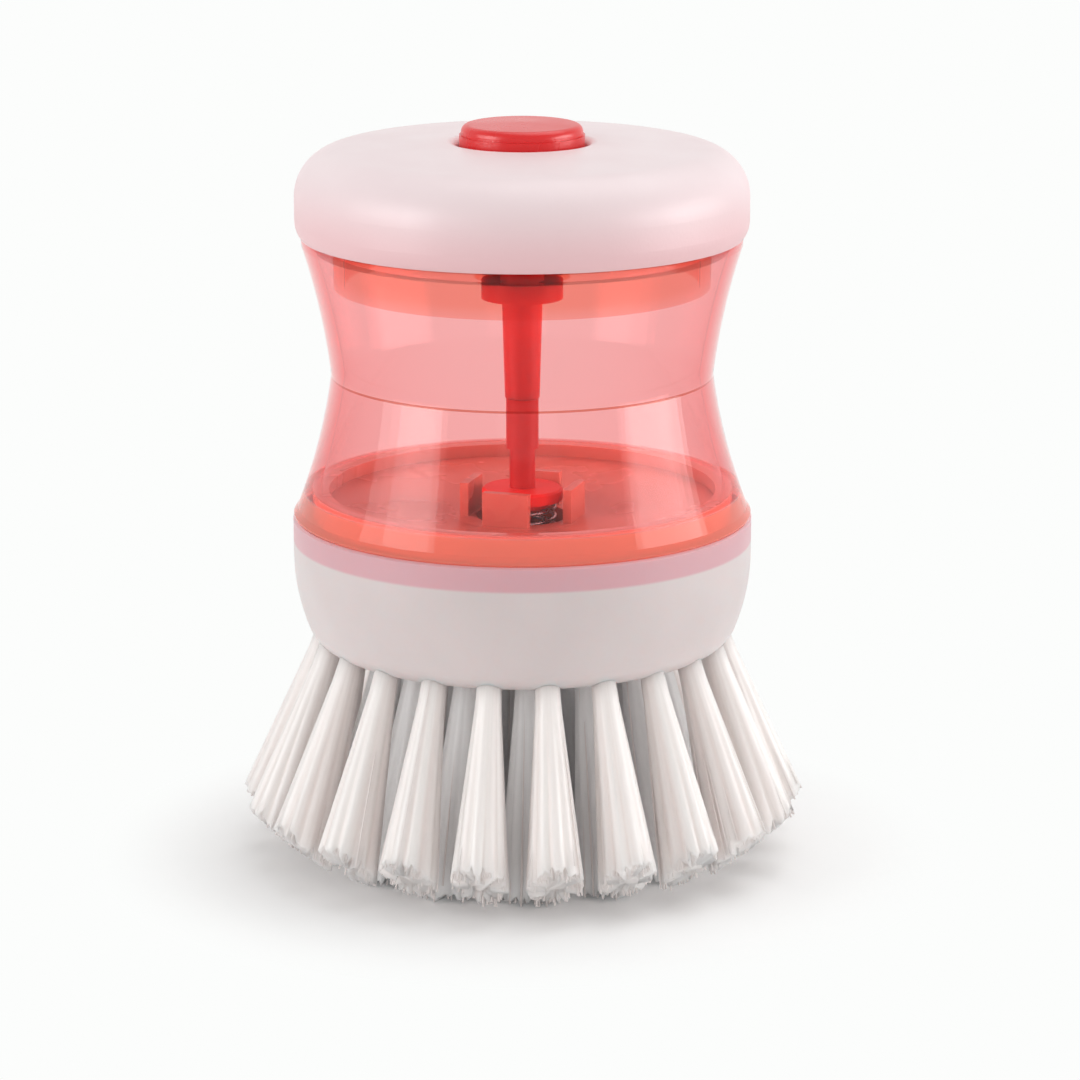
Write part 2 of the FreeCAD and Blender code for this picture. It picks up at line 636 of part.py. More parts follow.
def make_valve():
    """The rod with its disc, poppet and clip, and the spring that holds the valve shut."""
    turned_body("valve_rod", [
        (AXIS, rod_end),
        (s.rod_tail_radius, rod_end),
        (s.rod_tail_radius, clip_bottom),
        (s.rod_tail_radius - s.clip_groove, clip_bottom),
        (s.rod_tail_radius - s.clip_groove, poppet_bottom),
        (s.rod_tail_radius, poppet_bottom),
        (s.rod_tail_radius, disc_top),
        (s.rod_radius, disc_top),
        (s.rod_radius, rod_step),
        (s.rod_head_radius, rod_step),
        (s.rod_head_radius, rod_shoulder),
        (s.rod_peg_radius, rod_shoulder),
        (s.rod_peg_radius, rod_top),
        (AXIS, rod_top),
    ])
    bore = s.rod_tail_radius + s.rod_fit
    turned_body("spring_collar", [
        (bore, disc_bottom - s.hub_length),
        (s.hub_radius, disc_bottom - s.hub_length),
        (s.hub_radius, disc_bottom),
        (s.disc_radius, disc_bottom),
        (s.disc_radius, disc_top - s.disc_bevel),
        (s.disc_radius - s.disc_bevel, disc_top),
        (bore, disc_top),
    ])
    turned_body("valve_poppet", [
        (bore, poppet_bottom),
        (s.poppet_radius - s.poppet_taper, poppet_bottom),
        (s.poppet_radius, poppet_top - s.poppet_rim),
        (s.poppet_radius, poppet_top),
        (bore, poppet_top),
    ])
    clip_bore = s.rod_tail_radius - s.clip_groove + s.rod_fit
    turned_body("poppet_clip", ring_outline(clip_bore, s.clip_radius, clip_bottom, poppet_bottom))
    make_return_spring()


def arc_edge(start, direction, end):
    """The arc that leaves start along a direction and ends at end."""
    chord = end - start
    inward = chord - direction * chord.dot(direction)
    inward.normalize()
    radius = chord.dot(chord) / (2 * chord.dot(inward))
    middle = start + inward * radius
    bulge = (start + end) * 0.5 - middle
    bulge.normalize()
    return Part.Arc(start, middle + bulge * radius, end).toShape()


def biarc(start, start_way, end, end_way):
    """Two arcs that meet smoothly, from one point and direction to another."""
    chord = end - start
    ways = start_way + end_way
    spread = 2 * (1 - start_way.dot(end_way))
    along = chord.dot(ways)
    arm = (math.sqrt(along * along + spread * chord.dot(chord)) - along) / spread
    meeting = (start + end + (start_way - end_way) * arm) * 0.5
    second = arc_edge(end, end_way * -1, meeting)
    return [arc_edge(start, start_way, meeting), second]


def make_return_spring():
    """A round-wire spring of open turns between the well's floor and the disc."""
    quarters_in_turn = 4
    samples_in_turn = 24
    coil_radius = (s.hub_radius + s.coil_clearance + s.wire_radius).value
    wire = s.wire_radius.value
    turns = s.coil_turns.value
    bottom = well_floor.value + s.coil_gap.value + wire
    top = disc_bottom.value - s.coil_gap.value - wire
    rise = (top - bottom) / turns / (2 * math.pi)

    def place(angle):
        return Vector(coil_radius * math.cos(angle), coil_radius * math.sin(angle), bottom + rise * angle)

    def way(angle):
        return Vector(-coil_radius * math.sin(angle), coil_radius * math.cos(angle), rise).normalize()

    count = round(turns * quarters_in_turn)
    angles = [2 * math.pi * turns * index / count for index in range(count + 1)]
    edges = []
    for first, last in zip(angles, angles[1:]):
        edges += biarc(place(first), way(first), place(last), way(last))
    section = Part.Wire(Part.makeCircle(wire, place(0), way(0)))
    tube = Part.BRepOffsetAPI.MakePipeShell(Part.Wire(Part.__sortEdges__(edges)))
    tube.add(section)
    tube.build()
    tube.makeSolid()

    total = round(turns * samples_in_turn)
    points = [place(2 * math.pi * turns * index / total) for index in range(total + 1)]
    half_turn = samples_in_turn // 2
    nearest = min(a.distanceToPoint(b) for i, a in enumerate(points) for b in points[i + half_turn:])
    print(f"return_spring: least gap between turns {nearest - 2 * wire:.2f} mm")
    solid_feature("return_spring", tube.shape())


def make_cap():
    """The cap with its button well and thread, the closure pressed into it, and their seals."""
    foot = shoulder + s.cap_gap
    shoulder_middle = cap_radius - s.cap_shoulder_radius
    crown_edge = cap_top - s.cap_crown
    side_top = crown_edge - s.cap_shoulder_radius
    inner_round = s.cap_shoulder_radius - s.cap_wall
    roof_edge = crown_edge - s.cap_wall
    roof_middle = cap_top - s.cap_wall
    button_well = s.button_radius + s.button_clearance
    well_mouth = button_well + s.well_edge_radius
    guide_outer = button_well + s.guide_wall
    guide_end = cap_top - s.guide_length
    rib_inner = plug_inner - s.lip_width + s.rib_inset
    rib_outer = rib_inner + s.rib_width
    roof_fall = s.cap_crown / (shoulder_middle - guide_outer)
    body = turned_body("top_cap", [
        (thread_wall, foot),
        (cap_radius - s.cap_foot_in, foot),
        (cap_radius, foot + s.cap_foot_rise, s.cap_foot_radius, RIGHT),
        (cap_radius, side_top),
        (shoulder_middle, crown_edge, s.cap_shoulder_radius, RIGHT),
        (well_mouth, cap_top),
        (button_well, cap_top - s.well_edge_radius, s.well_edge_radius, RIGHT),
        (button_well, guide_end),
        (guide_outer, guide_end),
        (guide_outer, roof_middle),
        (rib_inner, roof_middle - (rib_inner - guide_outer) * roof_fall),
        (rib_inner, flange_top),
        (rib_outer, flange_top),
        (rib_outer, roof_middle - (rib_outer - guide_outer) * roof_fall),
        (shoulder_middle, roof_edge),
        (thread_wall, side_top, inner_round, LEFT),
    ])
    level = shoulder + s.thread_rise - s.thread_pitch * HALF
    add_thread(body, "cap_thread", thread_wall + s.thread_sink, thread_wall - s.thread_height, level)

    cup_inner = s.stem_radius + s.seal_fit + s.seal_width + s.retainer_fit
    cup_outer = cup_inner + s.cup_wall
    cup_top = retainer_top + s.cup_lip
    plate_bore = s.stem_radius + s.stem_clearance
    flange_radius = plug_radius + s.flange_width
    lip_radius = plug_inner - s.lip_width
    turned_body("cap_inner", [
        (plate_bore, cup_bottom),
        (cup_outer, cup_bottom),
        (cup_outer, cup_top - s.plate_thickness),
        (plug_inner, cup_top - s.plate_thickness),
        (plug_inner, plug_bottom),
        (plug_radius, plug_bottom),
        (plug_radius, gasket_top),
        (flange_radius, gasket_top),
        (flange_radius, flange_top),
        (lip_radius, flange_top),
        (lip_radius, gasket_top),
        (plug_inner, gasket_top),
        (plug_inner, cup_top),
        (cup_inner, cup_top),
        (cup_inner, cup_floor),
        (plate_bore, cup_floor),
    ])
    rim_inner = neck_inner + s.gasket_inset
    rim_outer = neck_radius - s.gasket_inset
    turned_body("cap_gasket", ring_outline(rim_inner, rim_outer, neck_rim, gasket_top))
    seal_outer = cup_inner - s.retainer_fit
    turned_body("stem_seal", ring_outline(s.stem_radius + s.seal_fit, seal_outer, cup_floor, seal_top))
    turned_body("seal_retainer", ring_outline(plate_bore, seal_outer, seal_top, retainer_top))


def make_button():
    """The button and the stem that hangs from it."""
    boss_bore = s.stem_peg_radius + s.stem_peg_fit
    boss_outer = boss_bore + s.button_boss_wall
    roof = button_top - s.button_top
    rim_radius = s.button_radius - s.button_step
    rim_level = button_top - s.button_crown
    peg_top = roof - s.stem_peg_fit
    turned_body("push_button", [
        (AXIS, roof),
        (boss_bore, roof),
        (boss_bore, boss_end),
        (boss_outer, boss_end),
        (boss_outer, roof),
        (s.button_radius - s.button_wall, roof),
        (s.button_radius - s.button_wall, button_top - s.button_depth),
        (s.button_radius, button_top - s.button_depth),
        (s.button_radius, button_top - s.button_step_drop),
        (rim_radius, button_top - s.button_step_drop),
        (rim_radius, rim_level - s.button_edge_radius),
        (rim_radius - s.button_edge_radius, rim_level, s.button_edge_radius, RIGHT),
        (AXIS, button_top),
    ])
    flange_end = cup_bottom - s.stem_flange_gap
    flange_start = flange_end - s.stem_flange_thickness
    stem_end = rod_shoulder + s.stem_gap
    bore_end = rod_top + s.stem_bore_spare
    turned_body("button_stem", [
        (stem_bore, stem_end),
        (s.stem_end_radius, stem_end),
        (s.stem_shank_radius, flange_start),
        (s.stem_flange_radius, flange_start),
        (s.stem_flange_radius, flange_end),
        (s.stem_radius, flange_end),
        (s.stem_radius, boss_end),
        (s.stem_peg_radius, boss_end),
        (s.stem_peg_radius, peg_top),
        (AXIS, peg_top),
        (AXIS, bore_end),
        (stem_bore, bore_end),
    ])


make_brush_head()
for each_ring in tuft_rings:
    make_tufts(each_ring)
make_tuft_anchors()
make_reservoir()
make_floor()
make_valve()
make_cap()
make_button()
doc.recompute()

for item in doc.Objects:
    if "Invalid" in item.State or "Error" in item.State:
        raise RuntimeError(f"{item.Name} failed: {item.State}")
for item in sub_parts:
    if item.Shape.isNull() or not item.Shape.isValid():
        raise RuntimeError(f"{item.Label} has no valid shape")

os.makedirs("parts", exist_ok=True)
for item in sub_parts:
    item.Shape.exportStep(f"parts/{item.Label}.step")
    print(f"{item.Label}: {len(item.Shape.Solids)} solid(s), {item.Shape.Volume:.1f} mm3")
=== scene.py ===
"""Dresses the palm brush, a dish brush that dispenses soap, and lights it for its picture.

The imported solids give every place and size. The tufts and the spring are modelled here, and each
other solid keeps its shape and gets the finish of its real material. Metres, +Z up, with the front
of the brush towards -Y; lengths that a person would name are written in millimetres.
"""

import logging
import math
from dataclasses import dataclass, field
from enum import Enum
from typing import Any, Iterable

import bpy
import numpy as np
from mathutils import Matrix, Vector


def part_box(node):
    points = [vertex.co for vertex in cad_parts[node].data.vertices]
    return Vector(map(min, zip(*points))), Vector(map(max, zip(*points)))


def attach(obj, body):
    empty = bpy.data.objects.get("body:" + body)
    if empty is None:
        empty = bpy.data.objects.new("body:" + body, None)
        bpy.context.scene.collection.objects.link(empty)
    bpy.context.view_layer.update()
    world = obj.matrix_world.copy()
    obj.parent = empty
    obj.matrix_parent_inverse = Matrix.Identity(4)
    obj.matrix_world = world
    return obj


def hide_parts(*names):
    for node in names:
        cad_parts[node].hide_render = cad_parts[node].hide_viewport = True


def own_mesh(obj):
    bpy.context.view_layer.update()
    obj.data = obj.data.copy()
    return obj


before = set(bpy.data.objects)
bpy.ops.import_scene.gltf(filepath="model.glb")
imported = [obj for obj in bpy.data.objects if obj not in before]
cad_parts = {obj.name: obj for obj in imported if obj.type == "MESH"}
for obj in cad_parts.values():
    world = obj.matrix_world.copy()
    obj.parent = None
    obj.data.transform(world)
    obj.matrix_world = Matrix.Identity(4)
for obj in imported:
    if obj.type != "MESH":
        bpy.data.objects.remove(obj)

LOG = logging.getLogger("palm_brush")
MM = 0.001
# The point attribute that holds each strand's tone.
STRAND_TONE = "strand_tone"

Colour = tuple[float, float, float, float]
Span = tuple[float, float]

# Noise seldom leaves this span, and this many layers of it make a natural pattern.
NOISE_SPAN: Span = (0.3, 0.7)
NOISE_DETAIL = 3.0


class Body(Enum):
    """The bodies that modelled pieces ride on."""

    BASE = "base"


class Use(Enum):
    """What a lamp is there for."""

    ALL = "light and glints"
    FILL = "light alone"
    GLINT = "glints alone"


class Slot(Enum):
    """The record's material slots for the modelled pieces, which nothing here uses."""

    NYLON = "bristle_nylon"
    SPRING = "spring_steel"


def linear(hex_colour: str) -> Colour:
    """Turns an sRGB colour into Blender's linear one.

    Args:
        hex_colour: six hex digits.

    Returns:
        Red, green, blue and an alpha of 1.
    """
    shares = [int(hex_colour[place:place + 2], 16) / 255 for place in (0, 2, 4)]
    red, green, blue = [s / 12.92 if s <= 0.04045 else ((s + 0.055) / 1.055) ** 2.4 for s in shares]
    return red, green, blue, 1.0


def per_metre(size_mm: float) -> float:
    """The scale of a pattern whose features are this many millimetres wide."""
    return 1 / (size_mm * MM)


def add_node(
    tree: bpy.types.NodeTree, kind: str, inputs: dict[str | int, Any] | None = None, **settings: Any,
) -> bpy.types.Node:
    """Adds a node with its settings and links.

    Args:
        tree: the node tree to add to.
        kind: the node's type name.
        inputs: what each input socket holds, a value or an output socket to link from.
        settings: the node's own properties.

    Returns:
        The new node.
    """
    node = tree.nodes.new(kind)
    for name, value in settings.items():
        setattr(node, name, value)
    for socket, value in (inputs or {}).items():
        if isinstance(value, bpy.types.NodeSocket):
            tree.links.new(value, node.inputs[socket])
        else:
            node.inputs[socket].default_value = value
    return node


@dataclass(frozen=True)
class Finish:
    """A material that is made once and shared by the pieces it dresses."""

    name: str

    def material(self) -> bpy.types.Material:
        """Makes the material the first time that it is asked for.

        Returns:
            The material.
        """
        made = bpy.data.materials.get(self.name)
        if made is None:
            made = bpy.data.materials.new(self.name)
            made.use_nodes = True
            made.node_tree.nodes.clear()
            self.draw(made.node_tree)
        return made

    def draw(self, tree: bpy.types.NodeTree) -> None:
        """Adds the nodes of this finish to its tree.

        Args:
            tree: the material's own tree, still empty.
        """
        raise NotImplementedError

    def spread(
        self, tree: bpy.types.NodeTree, size_mm: float, low: float, high: float,
    ) -> bpy.types.NodeSocket:
        """A value that wanders over the surface.

        Args:
            tree: the node tree to add to.
            size_mm: the width of the pattern's patches.
            low: the value in the hollows of the pattern.
            high: the value on its crests.

        Returns:
            The socket that gives the value.
        """
        place = add_node(tree, "ShaderNodeTexCoord")
        patches = add_node(tree, "ShaderNodeTexNoise", {
            "Vector": place.outputs["Object"],
            "Scale": per_metre(size_mm),
            "Detail": NOISE_DETAIL,
        })
        hollow, crest = NOISE_SPAN
        return add_node(tree, "ShaderNodeMapRange", {
            "Value": patches.outputs["Fac"],
            "From Min": hollow,
            "From Max": crest,
            "To Min": low,
            "To Max": high,
        }).outputs["Result"]


@dataclass(frozen=True)
class MouldedPlastic(Finish):
    """Moulded plastic: even in colour, satin, with the faint grain of its steel mould."""

    colour: str
    shade: str
    roughness: Span = (0.32, 0.44)
    ior: float = 1.49
    mottle_mm: float = 11.0
    # The real grain is about 0.05 mm; it is drawn coarser so that it shows.
    grain_mm: float = 0.5
    grain_depth_mm: float = 0.006
    glow: float = 0.0
    glow_mm: float = 1.0
    # Red light goes farther in the plastic than green and blue.
    glow_reach: tuple[float, float, float] = (1.0, 0.5, 0.45)

    def draw(self, tree: bpy.types.NodeTree) -> None:
        """Adds the nodes of this finish to its tree.

        Args:
            tree: the material's own tree, still empty.
        """
        colour = add_node(tree, "ShaderNodeMix", {
            "Factor": self.spread(tree, self.mottle_mm, 0.0, 1.0),
            6: linear(self.colour),
            7: linear(self.shade),
        }, data_type="RGBA")
        grain = add_node(tree, "ShaderNodeBump", {
            "Height": self.spread(tree, self.grain_mm, 0.0, 1.0),
            "Distance": self.grain_depth_mm * MM,
            "Strength": 1.0,
        })
        surface = add_node(tree, "ShaderNodeBsdfPrincipled", {
            "Base Color": self.tinted(tree, colour.outputs[2]),
            "Roughness": self.spread(tree, self.mottle_mm, *self.roughness),
            "Normal": grain.outputs["Normal"],
            "IOR": self.ior,
            "Subsurface Weight": self.glow,
            "Subsurface Radius": self.glow_reach,
            "Subsurface Scale": self.glow_mm * MM,
        })
        add_node(tree, "ShaderNodeOutputMaterial", {"Surface": surface.outputs["BSDF"]})

    def tinted(self, tree: bpy.types.NodeTree, colour: bpy.types.NodeSocket) -> bpy.types.NodeSocket:
        """The colour as the piece shows it, which here is the plastic's own."""
        return colour


@dataclass(frozen=True)
class BackedPlastic(MouldedPlastic):
    """White plastic thin enough for the red piece behind it to show faintly."""

    backing: str = "FFFFFF"
    bare_level: float = 0.0
    backed_level: float = 0.0

    def tinted(self, tree: bpy.types.NodeTree, colour: bpy.types.NodeSocket) -> bpy.types.NodeSocket:
        """Lets the backing's colour in, from the bare level to the backed level.

        Args:
            tree: the node tree to add to.
            colour: the plastic's own colour.

        Returns:
            The socket that gives the mixed colour.
        """
        place = add_node(tree, "ShaderNodeTexCoord")
        split = add_node(tree, "ShaderNodeSeparateXYZ", {"Vector": place.outputs["Object"]})
        share = add_node(tree, "ShaderNodeMapRange", {
            "Value": split.outputs["Z"],
            "From Min": self.bare_level,
            "From Max": self.backed_level,
        }, interpolation_type="SMOOTHSTEP")
        mixed = add_node(tree, "ShaderNodeMix", {
            "Factor": share.outputs["Result"],
            6: colour,
            7: linear(self.backing),
        }, data_type="RGBA")
        return mixed.outputs[2]


@dataclass(frozen=True)
class ClearPlastic(Finish):
    """Transparent moulded plastic: redder where the eye looks through more of it."""

    # What is left of white light behind one wall of the given thickness.
    lets_through: str
    wall_mm: float
    # The share of the tint that grows with the way through the wall; the rest is the same at any angle.
    deepening: float = 0.25
    roughness: Span = (0.015, 0.05)
    # Light bends little in so thin a wall, so the body has a low IOR and its gloss is a coat.
    ior: float = 1.003
    gloss: float = 1.0
    gloss_ior: float = 1.3
    gloss_roughness: float = 0.03
    ripple_mm: float = 9.0

    def draw(self, tree: bpy.types.NodeTree) -> None:
        """Adds the nodes of this finish to its tree.

        Args:
            tree: the material's own tree, still empty.
        """
        passed = linear(self.lets_through)[:3]
        losses = [-math.log(share) * self.deepening / (self.wall_mm * MM) for share in passed]
        density = max(losses)
        kept = [1 - loss / density for loss in losses]
        even_tint = [share ** (1 - self.deepening) for share in passed]
        path = add_node(tree, "ShaderNodeLightPath")
        surface = add_node(tree, "ShaderNodeBsdfPrincipled", {
            "Base Color": self.tinted(tree, (*even_tint, 1.0)),
            "Roughness": self.spread(tree, self.ripple_mm, *self.roughness),
            "IOR": self.ior,
            "Transmission Weight": self.clearness(tree),
            "Coat Weight": self.gloss,
            "Coat IOR": self.gloss_ior,
            "Coat Roughness": self.gloss_roughness,
        })
        # Lamps shine on the pieces inside through both faces of the wall, which tints their light.
        face_tint = [math.sqrt(share) for share in passed]
        let_through = add_node(tree, "ShaderNodeBsdfTransparent", {"Color": (*face_tint, 1.0)})
        mixed = add_node(tree, "ShaderNodeMixShader", {
            0: path.outputs["Is Shadow Ray"],
            1: surface.outputs["BSDF"],
            2: let_through.outputs["BSDF"],
        })
        tint = add_node(tree, "ShaderNodeVolumeAbsorption", {"Color": (*kept, 1.0), "Density": density})
        add_node(tree, "ShaderNodeOutputMaterial", {
            "Surface": mixed.outputs["Shader"],
            "Volume": tint.outputs["Volume"],
        })

    def tinted(self, tree: bpy.types.NodeTree, even_tint: Colour) -> Colour | bpy.types.NodeSocket:
        """The tint that is the same at any angle, which here is the same all over."""
        return even_tint

    def clearness(self, tree: bpy.types.NodeTree) -> float | bpy.types.NodeSocket:
        """The share of the light that goes straight through, which here is all of it."""
        return 1.0


@dataclass(frozen=True)
class GradedPlastic(ClearPlastic):
    """Transparent plastic whose tint and cloudiness change with height, as its wall gets thicker."""

    thick_tint: str = "FFFFFF"
    thick_clear: float = 1.0
    thick_level: float = 0.0
    thin_level: float = 0.0

    def thinness(self, tree: bpy.types.NodeTree, low: float, high: float) -> bpy.types.NodeSocket:
        """A value that changes from the thick level to the thin level.

        Args:
            tree: the node tree to add to.
            low: the value where the wall is thick.
            high: the value where it is thin.

        Returns:
            The socket that gives the value.
        """
        place = add_node(tree, "ShaderNodeTexCoord")
        split = add_node(tree, "ShaderNodeSeparateXYZ", {"Vector": place.outputs["Object"]})
        return add_node(tree, "ShaderNodeMapRange", {
            "Value": split.outputs["Z"],
            "From Min": self.thick_level,
            "From Max": self.thin_level,
            "To Min": low,
            "To Max": high,
        }).outputs["Result"]

    def tinted(self, tree: bpy.types.NodeTree, even_tint: Colour) -> Colour | bpy.types.NodeSocket:
        """Colours the thick part of the wall more deeply.

        Args:
            tree: the node tree to add to.
            even_tint: the tint of the thin wall.

        Returns:
            The socket that gives the colour.
        """
        wall = add_node(tree, "ShaderNodeMix", {
            "Factor": self.thinness(tree, 0.0, 1.0),
            6: linear(self.thick_tint),
            7: even_tint,
        }, data_type="RGBA")
        return wall.outputs[2]

    def clearness(self, tree: bpy.types.NodeTree) -> float | bpy.types.NodeSocket:
        """The share of the light that goes straight through: less of it where the wall is thick."""
        return self.thinness(tree, self.thick_clear, 1.0)


@dataclass(frozen=True)
class CreaseShadedPlastic(GradedPlastic):
    """Transparent plastic with painted shade: a fine dark line across the front of its waist crease."""

    line: str = "FFFFFF"
    line_mm: float = 0.3
    # The line runs out towards the sides over this depth, measured from front to back.
    line_fade_mm: float = 12.0
    line_level: float = 0.0
    # Only what lies farther than this from the axis is the wall's outer face.
    line_radius: float = 0.0

    def tinted(self, tree: bpy.types.NodeTree, even_tint: Colour) -> Colour | bpy.types.NodeSocket:
        """Paints the shade line of the waist crease on the front of the outer face.

        Args:
            tree: the node tree to add to.
            even_tint: the tint of the thin wall.

        Returns:
            The socket that gives the colour.
        """
        place = add_node(tree, "ShaderNodeTexCoord")
        split = add_node(tree, "ShaderNodeSeparateXYZ", {"Vector": place.outputs["Object"]})
        level = add_node(tree, "ShaderNodeMath", {
            0: split.outputs["Z"],
            1: self.line_level,
            2: self.line_mm / 2 * MM,
        }, operation="COMPARE")
        flat = add_node(tree, "ShaderNodeVectorMath", {
            0: place.outputs["Object"],
            1: (1, 1, 0),
        }, operation="MULTIPLY")
        radius = add_node(tree, "ShaderNodeVectorMath", {0: flat.outputs["Vector"]}, operation="LENGTH")
        outer = add_node(tree, "ShaderNodeMath", {
            0: radius.outputs["Value"],
            1: self.line_radius,
        }, operation="GREATER_THAN")
        front = add_node(tree, "ShaderNodeMapRange", {
            "Value": split.outputs["Y"],
            "From Min": 0.0,
            "From Max": -self.line_fade_mm * MM,
        })
        outer_front = add_node(tree, "ShaderNodeMath", {
            0: outer.outputs["Value"],
            1: front.outputs["Result"],
        }, operation="MULTIPLY")
        on_crease_shade = add_node(tree, "ShaderNodeMath", {
            0: outer_front.outputs["Value"],
            1: level.outputs["Value"],
        }, operation="MULTIPLY")
        # Painted shade: the crease's dark line, drawn on the front only.
        crease_shaded = add_node(tree, "ShaderNodeMix", {
            "Factor": on_crease_shade.outputs["Value"],
            6: super().tinted(tree, even_tint),
            7: linear(self.line),
        }, data_type="RGBA")
        return crease_shaded.outputs[2]


@dataclass(frozen=True)
class DrawnNylon(Finish):
    """Drawn nylon filament: white, slightly glossy, each strand a little lighter or darker."""

    colour: str
    shade: str
    roughness: Span = (0.35, 0.5)
    ior: float = 1.53
    glow: float = 0.0
    glow_mm: float = 2.0

    def draw(self, tree: bpy.types.NodeTree) -> None:
        """Adds the nodes of this finish to its tree.

        Args:
            tree: the material's own tree, still empty.
        """
        strand = add_node(tree, "ShaderNodeAttribute", attribute_name=STRAND_TONE)
        colour = add_node(tree, "ShaderNodeMix", {
            "Factor": strand.outputs["Fac"],
            6: linear(self.colour),
            7: linear(self.shade),
        }, data_type="RGBA")
        low, high = self.roughness
        rough = add_node(tree, "ShaderNodeMapRange", {
            "Value": strand.outputs["Fac"],
            "To Min": low,
            "To Max": high,
        })
        surface = add_node(tree, "ShaderNodeBsdfPrincipled", {
            "Base Color": colour.outputs[2],
            "Roughness": rough.outputs["Result"],
            "IOR": self.ior,
            "Subsurface Weight": self.glow,
            "Subsurface Radius": (1.0, 1.0, 1.0),
            "Subsurface Scale": self.glow_mm * MM,
        })
        add_node(tree, "ShaderNodeOutputMaterial", {"Surface": surface.outputs["BSDF"]})


@dataclass(frozen=True)
class DrawnMetal(Finish):
    """Drawn or rolled metal: bright, with fine scratches along it."""

    colour: str
    shade: str
    roughness: Span = (0.2, 0.36)
    # The real draw marks are about 0.01 mm; they are drawn coarser so that they show.
    scratch_mm: float = 0.25

    def draw(self, tree: bpy.types.NodeTree) -> None:
        """Adds the nodes of this finish to its tree.

        Args:
            tree: the material's own tree, still empty.
        """
        marks = self.spread(tree, self.scratch_mm, 0.0, 1.0)
        colour = add_node(tree, "ShaderNodeMix", {
            "Factor": marks,
            6: linear(self.colour),
            7: linear(self.shade),
        }, data_type="RGBA")
        surface = add_node(tree, "ShaderNodeBsdfPrincipled", {
            "Base Color": colour.outputs[2],
            "Roughness": self.spread(tree, self.scratch_mm, *self.roughness),
            "Metallic": 1.0,
        })
        add_node(tree, "ShaderNodeOutputMaterial", {"Surface": surface.outputs["BSDF"]})


# Moulded ABS from a polished mould: a strong even red with a clear soft gloss.
BUTTON_RED = MouldedPlastic("polished_abs_red", "E5181A", "DD1315", roughness=(0.24, 0.34), ior=1.52)
# Moulded acetal: the same red, almost without gloss, and waxy, so that its shaded faces glow too.
STEM_RED = MouldedPlastic(
    "moulded_acetal_red", "C8140F", "C0100B", roughness=(0.4, 0.5), ior=1.36, glow=1.0, glow_mm=5.0,
)
# The rod's acetal: a deeper red than the stem's.
ROD_RED = MouldedPlastic("moulded_acetal_deep_red", "B40804", "AC0502", roughness=(0.4, 0.5), ior=1.3)
# The collar's acetal: the same red painted brighter, as painted light that stands in for the light that
# hardly reaches the collar and retainer in the well.
ACETAL_RED_PAINTED_LIGHTER = MouldedPlastic("moulded_acetal_red_painted_lighter", "F61C12", "EE160E", roughness=(0.4, 0.5), ior=1.36)
# Translucent polypropylene: a milky red that takes light in and glows at its thin edges.
TINTED_RED = MouldedPlastic(
    "translucent_polypropylene_red", "D28373", "CC7B6B",
    roughness=(0.2, 0.32), ior=1.36, glow=0.4, glow_mm=1.5,
)
# Clear silicone rubber: matt, slightly waxy, without colour of its own.
SILICONE = MouldedPlastic("moulded_silicone", "E8E4E1", "DEDAD6", roughness=(0.5, 0.62), ior=1.41)
# The same rubber in red, so that it hardly shows between two red walls.
RED_SILICONE = MouldedPlastic("moulded_silicone_red", "D28373", "CC7B6B", roughness=(0.5, 0.62), ior=1.41)
# Drawn nylon: milky, slightly warm white strands with a silky shine along them.
NYLON = DrawnNylon("drawn_nylon_white", "FBF2EF", "F5ECE9")
# The same nylon packed close: light goes in and comes out farther on, which softens the folds.
NYLON_TUFT = DrawnNylon("packed_nylon_white", "FAF1EE", "F4EBE8", glow=1.0)
# The same nylon in the rings behind, painted whiter: painted light that stands in for the light that comes
# through the strands in front.
NYLON_PAINTED_LIGHTER = DrawnNylon("nylon_white_painted_lighter", "FFFDFC", "FCF9F8", glow=1.0)
# Drawn spring steel: a bright cold grey with a hard glint.
SPRING_STEEL = DrawnMetal("drawn_spring_steel", "C9CACC", "A9ABAE")
# Rolled strip: a dull warm grey.
ANCHOR_STRIP = DrawnMetal("rolled_anchor_strip", "C7C3B4", "A8A494")


def dress(node: str, finish: Finish) -> None:
    """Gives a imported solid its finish.

    Args:
        node: the solid's name.
        finish: what it is made of.
    """
    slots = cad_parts[node].data.materials
    slots.clear()
    slots.append(finish.material())
    LOG.info("%s: %s", node, finish.name)


def settle(piece: bpy.types.Object, body: Body, finish: Finish, nodes: Iterable[str]) -> None:
    """Dresses a modelled piece and puts it in the place of the solids that it stands for.

    Args:
        piece: the modelled piece.
        body: the body that it rides on.
        finish: what it is made of.
        nodes: the solids that it stands for.
    """
    piece.data.materials.clear()
    piece.data.materials.append(finish.material())
    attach(piece, body.value)
    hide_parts(*nodes)
    LOG.info("%s: %d faces, %s", piece.name, len(piece.data.polygons), finish.name)


def edit(piece: bpy.types.Object) -> None:
    """Opens one piece for modelling, with nothing selected.

    Args:
        piece: the piece to open.
    """
    bpy.ops.object.select_all(action="DESELECT")
    bpy.context.view_layer.objects.active = piece
    piece.select_set(True)
    bpy.ops.object.mode_set(mode="EDIT")
    bpy.ops.mesh.select_all(action="DESELECT")


@dataclass(frozen=True)
class Unit:
    """A shape a unit long and a unit in radius, to be copied: its points, and its faces' corners."""

    points: np.ndarray
    faces: list[tuple[int, ...]]


@dataclass(frozen=True)
class TuftRing:
    """One ring of tufts, by the sizes of its solids, in millimetres and degrees."""

    name: str
    count: int
    root_circle: float
    splay: float
    tip_depth: float
    tip_width: float
    filaments: int
    finish: DrawnNylon
    seed: int


@dataclass
class Strands:
    """Where a tuft's strands lie across it: shares of its half width at both ends, and a bow in mm."""

    at_root: np.ndarray
    at_tip: np.ndarray
    bow: np.ndarray


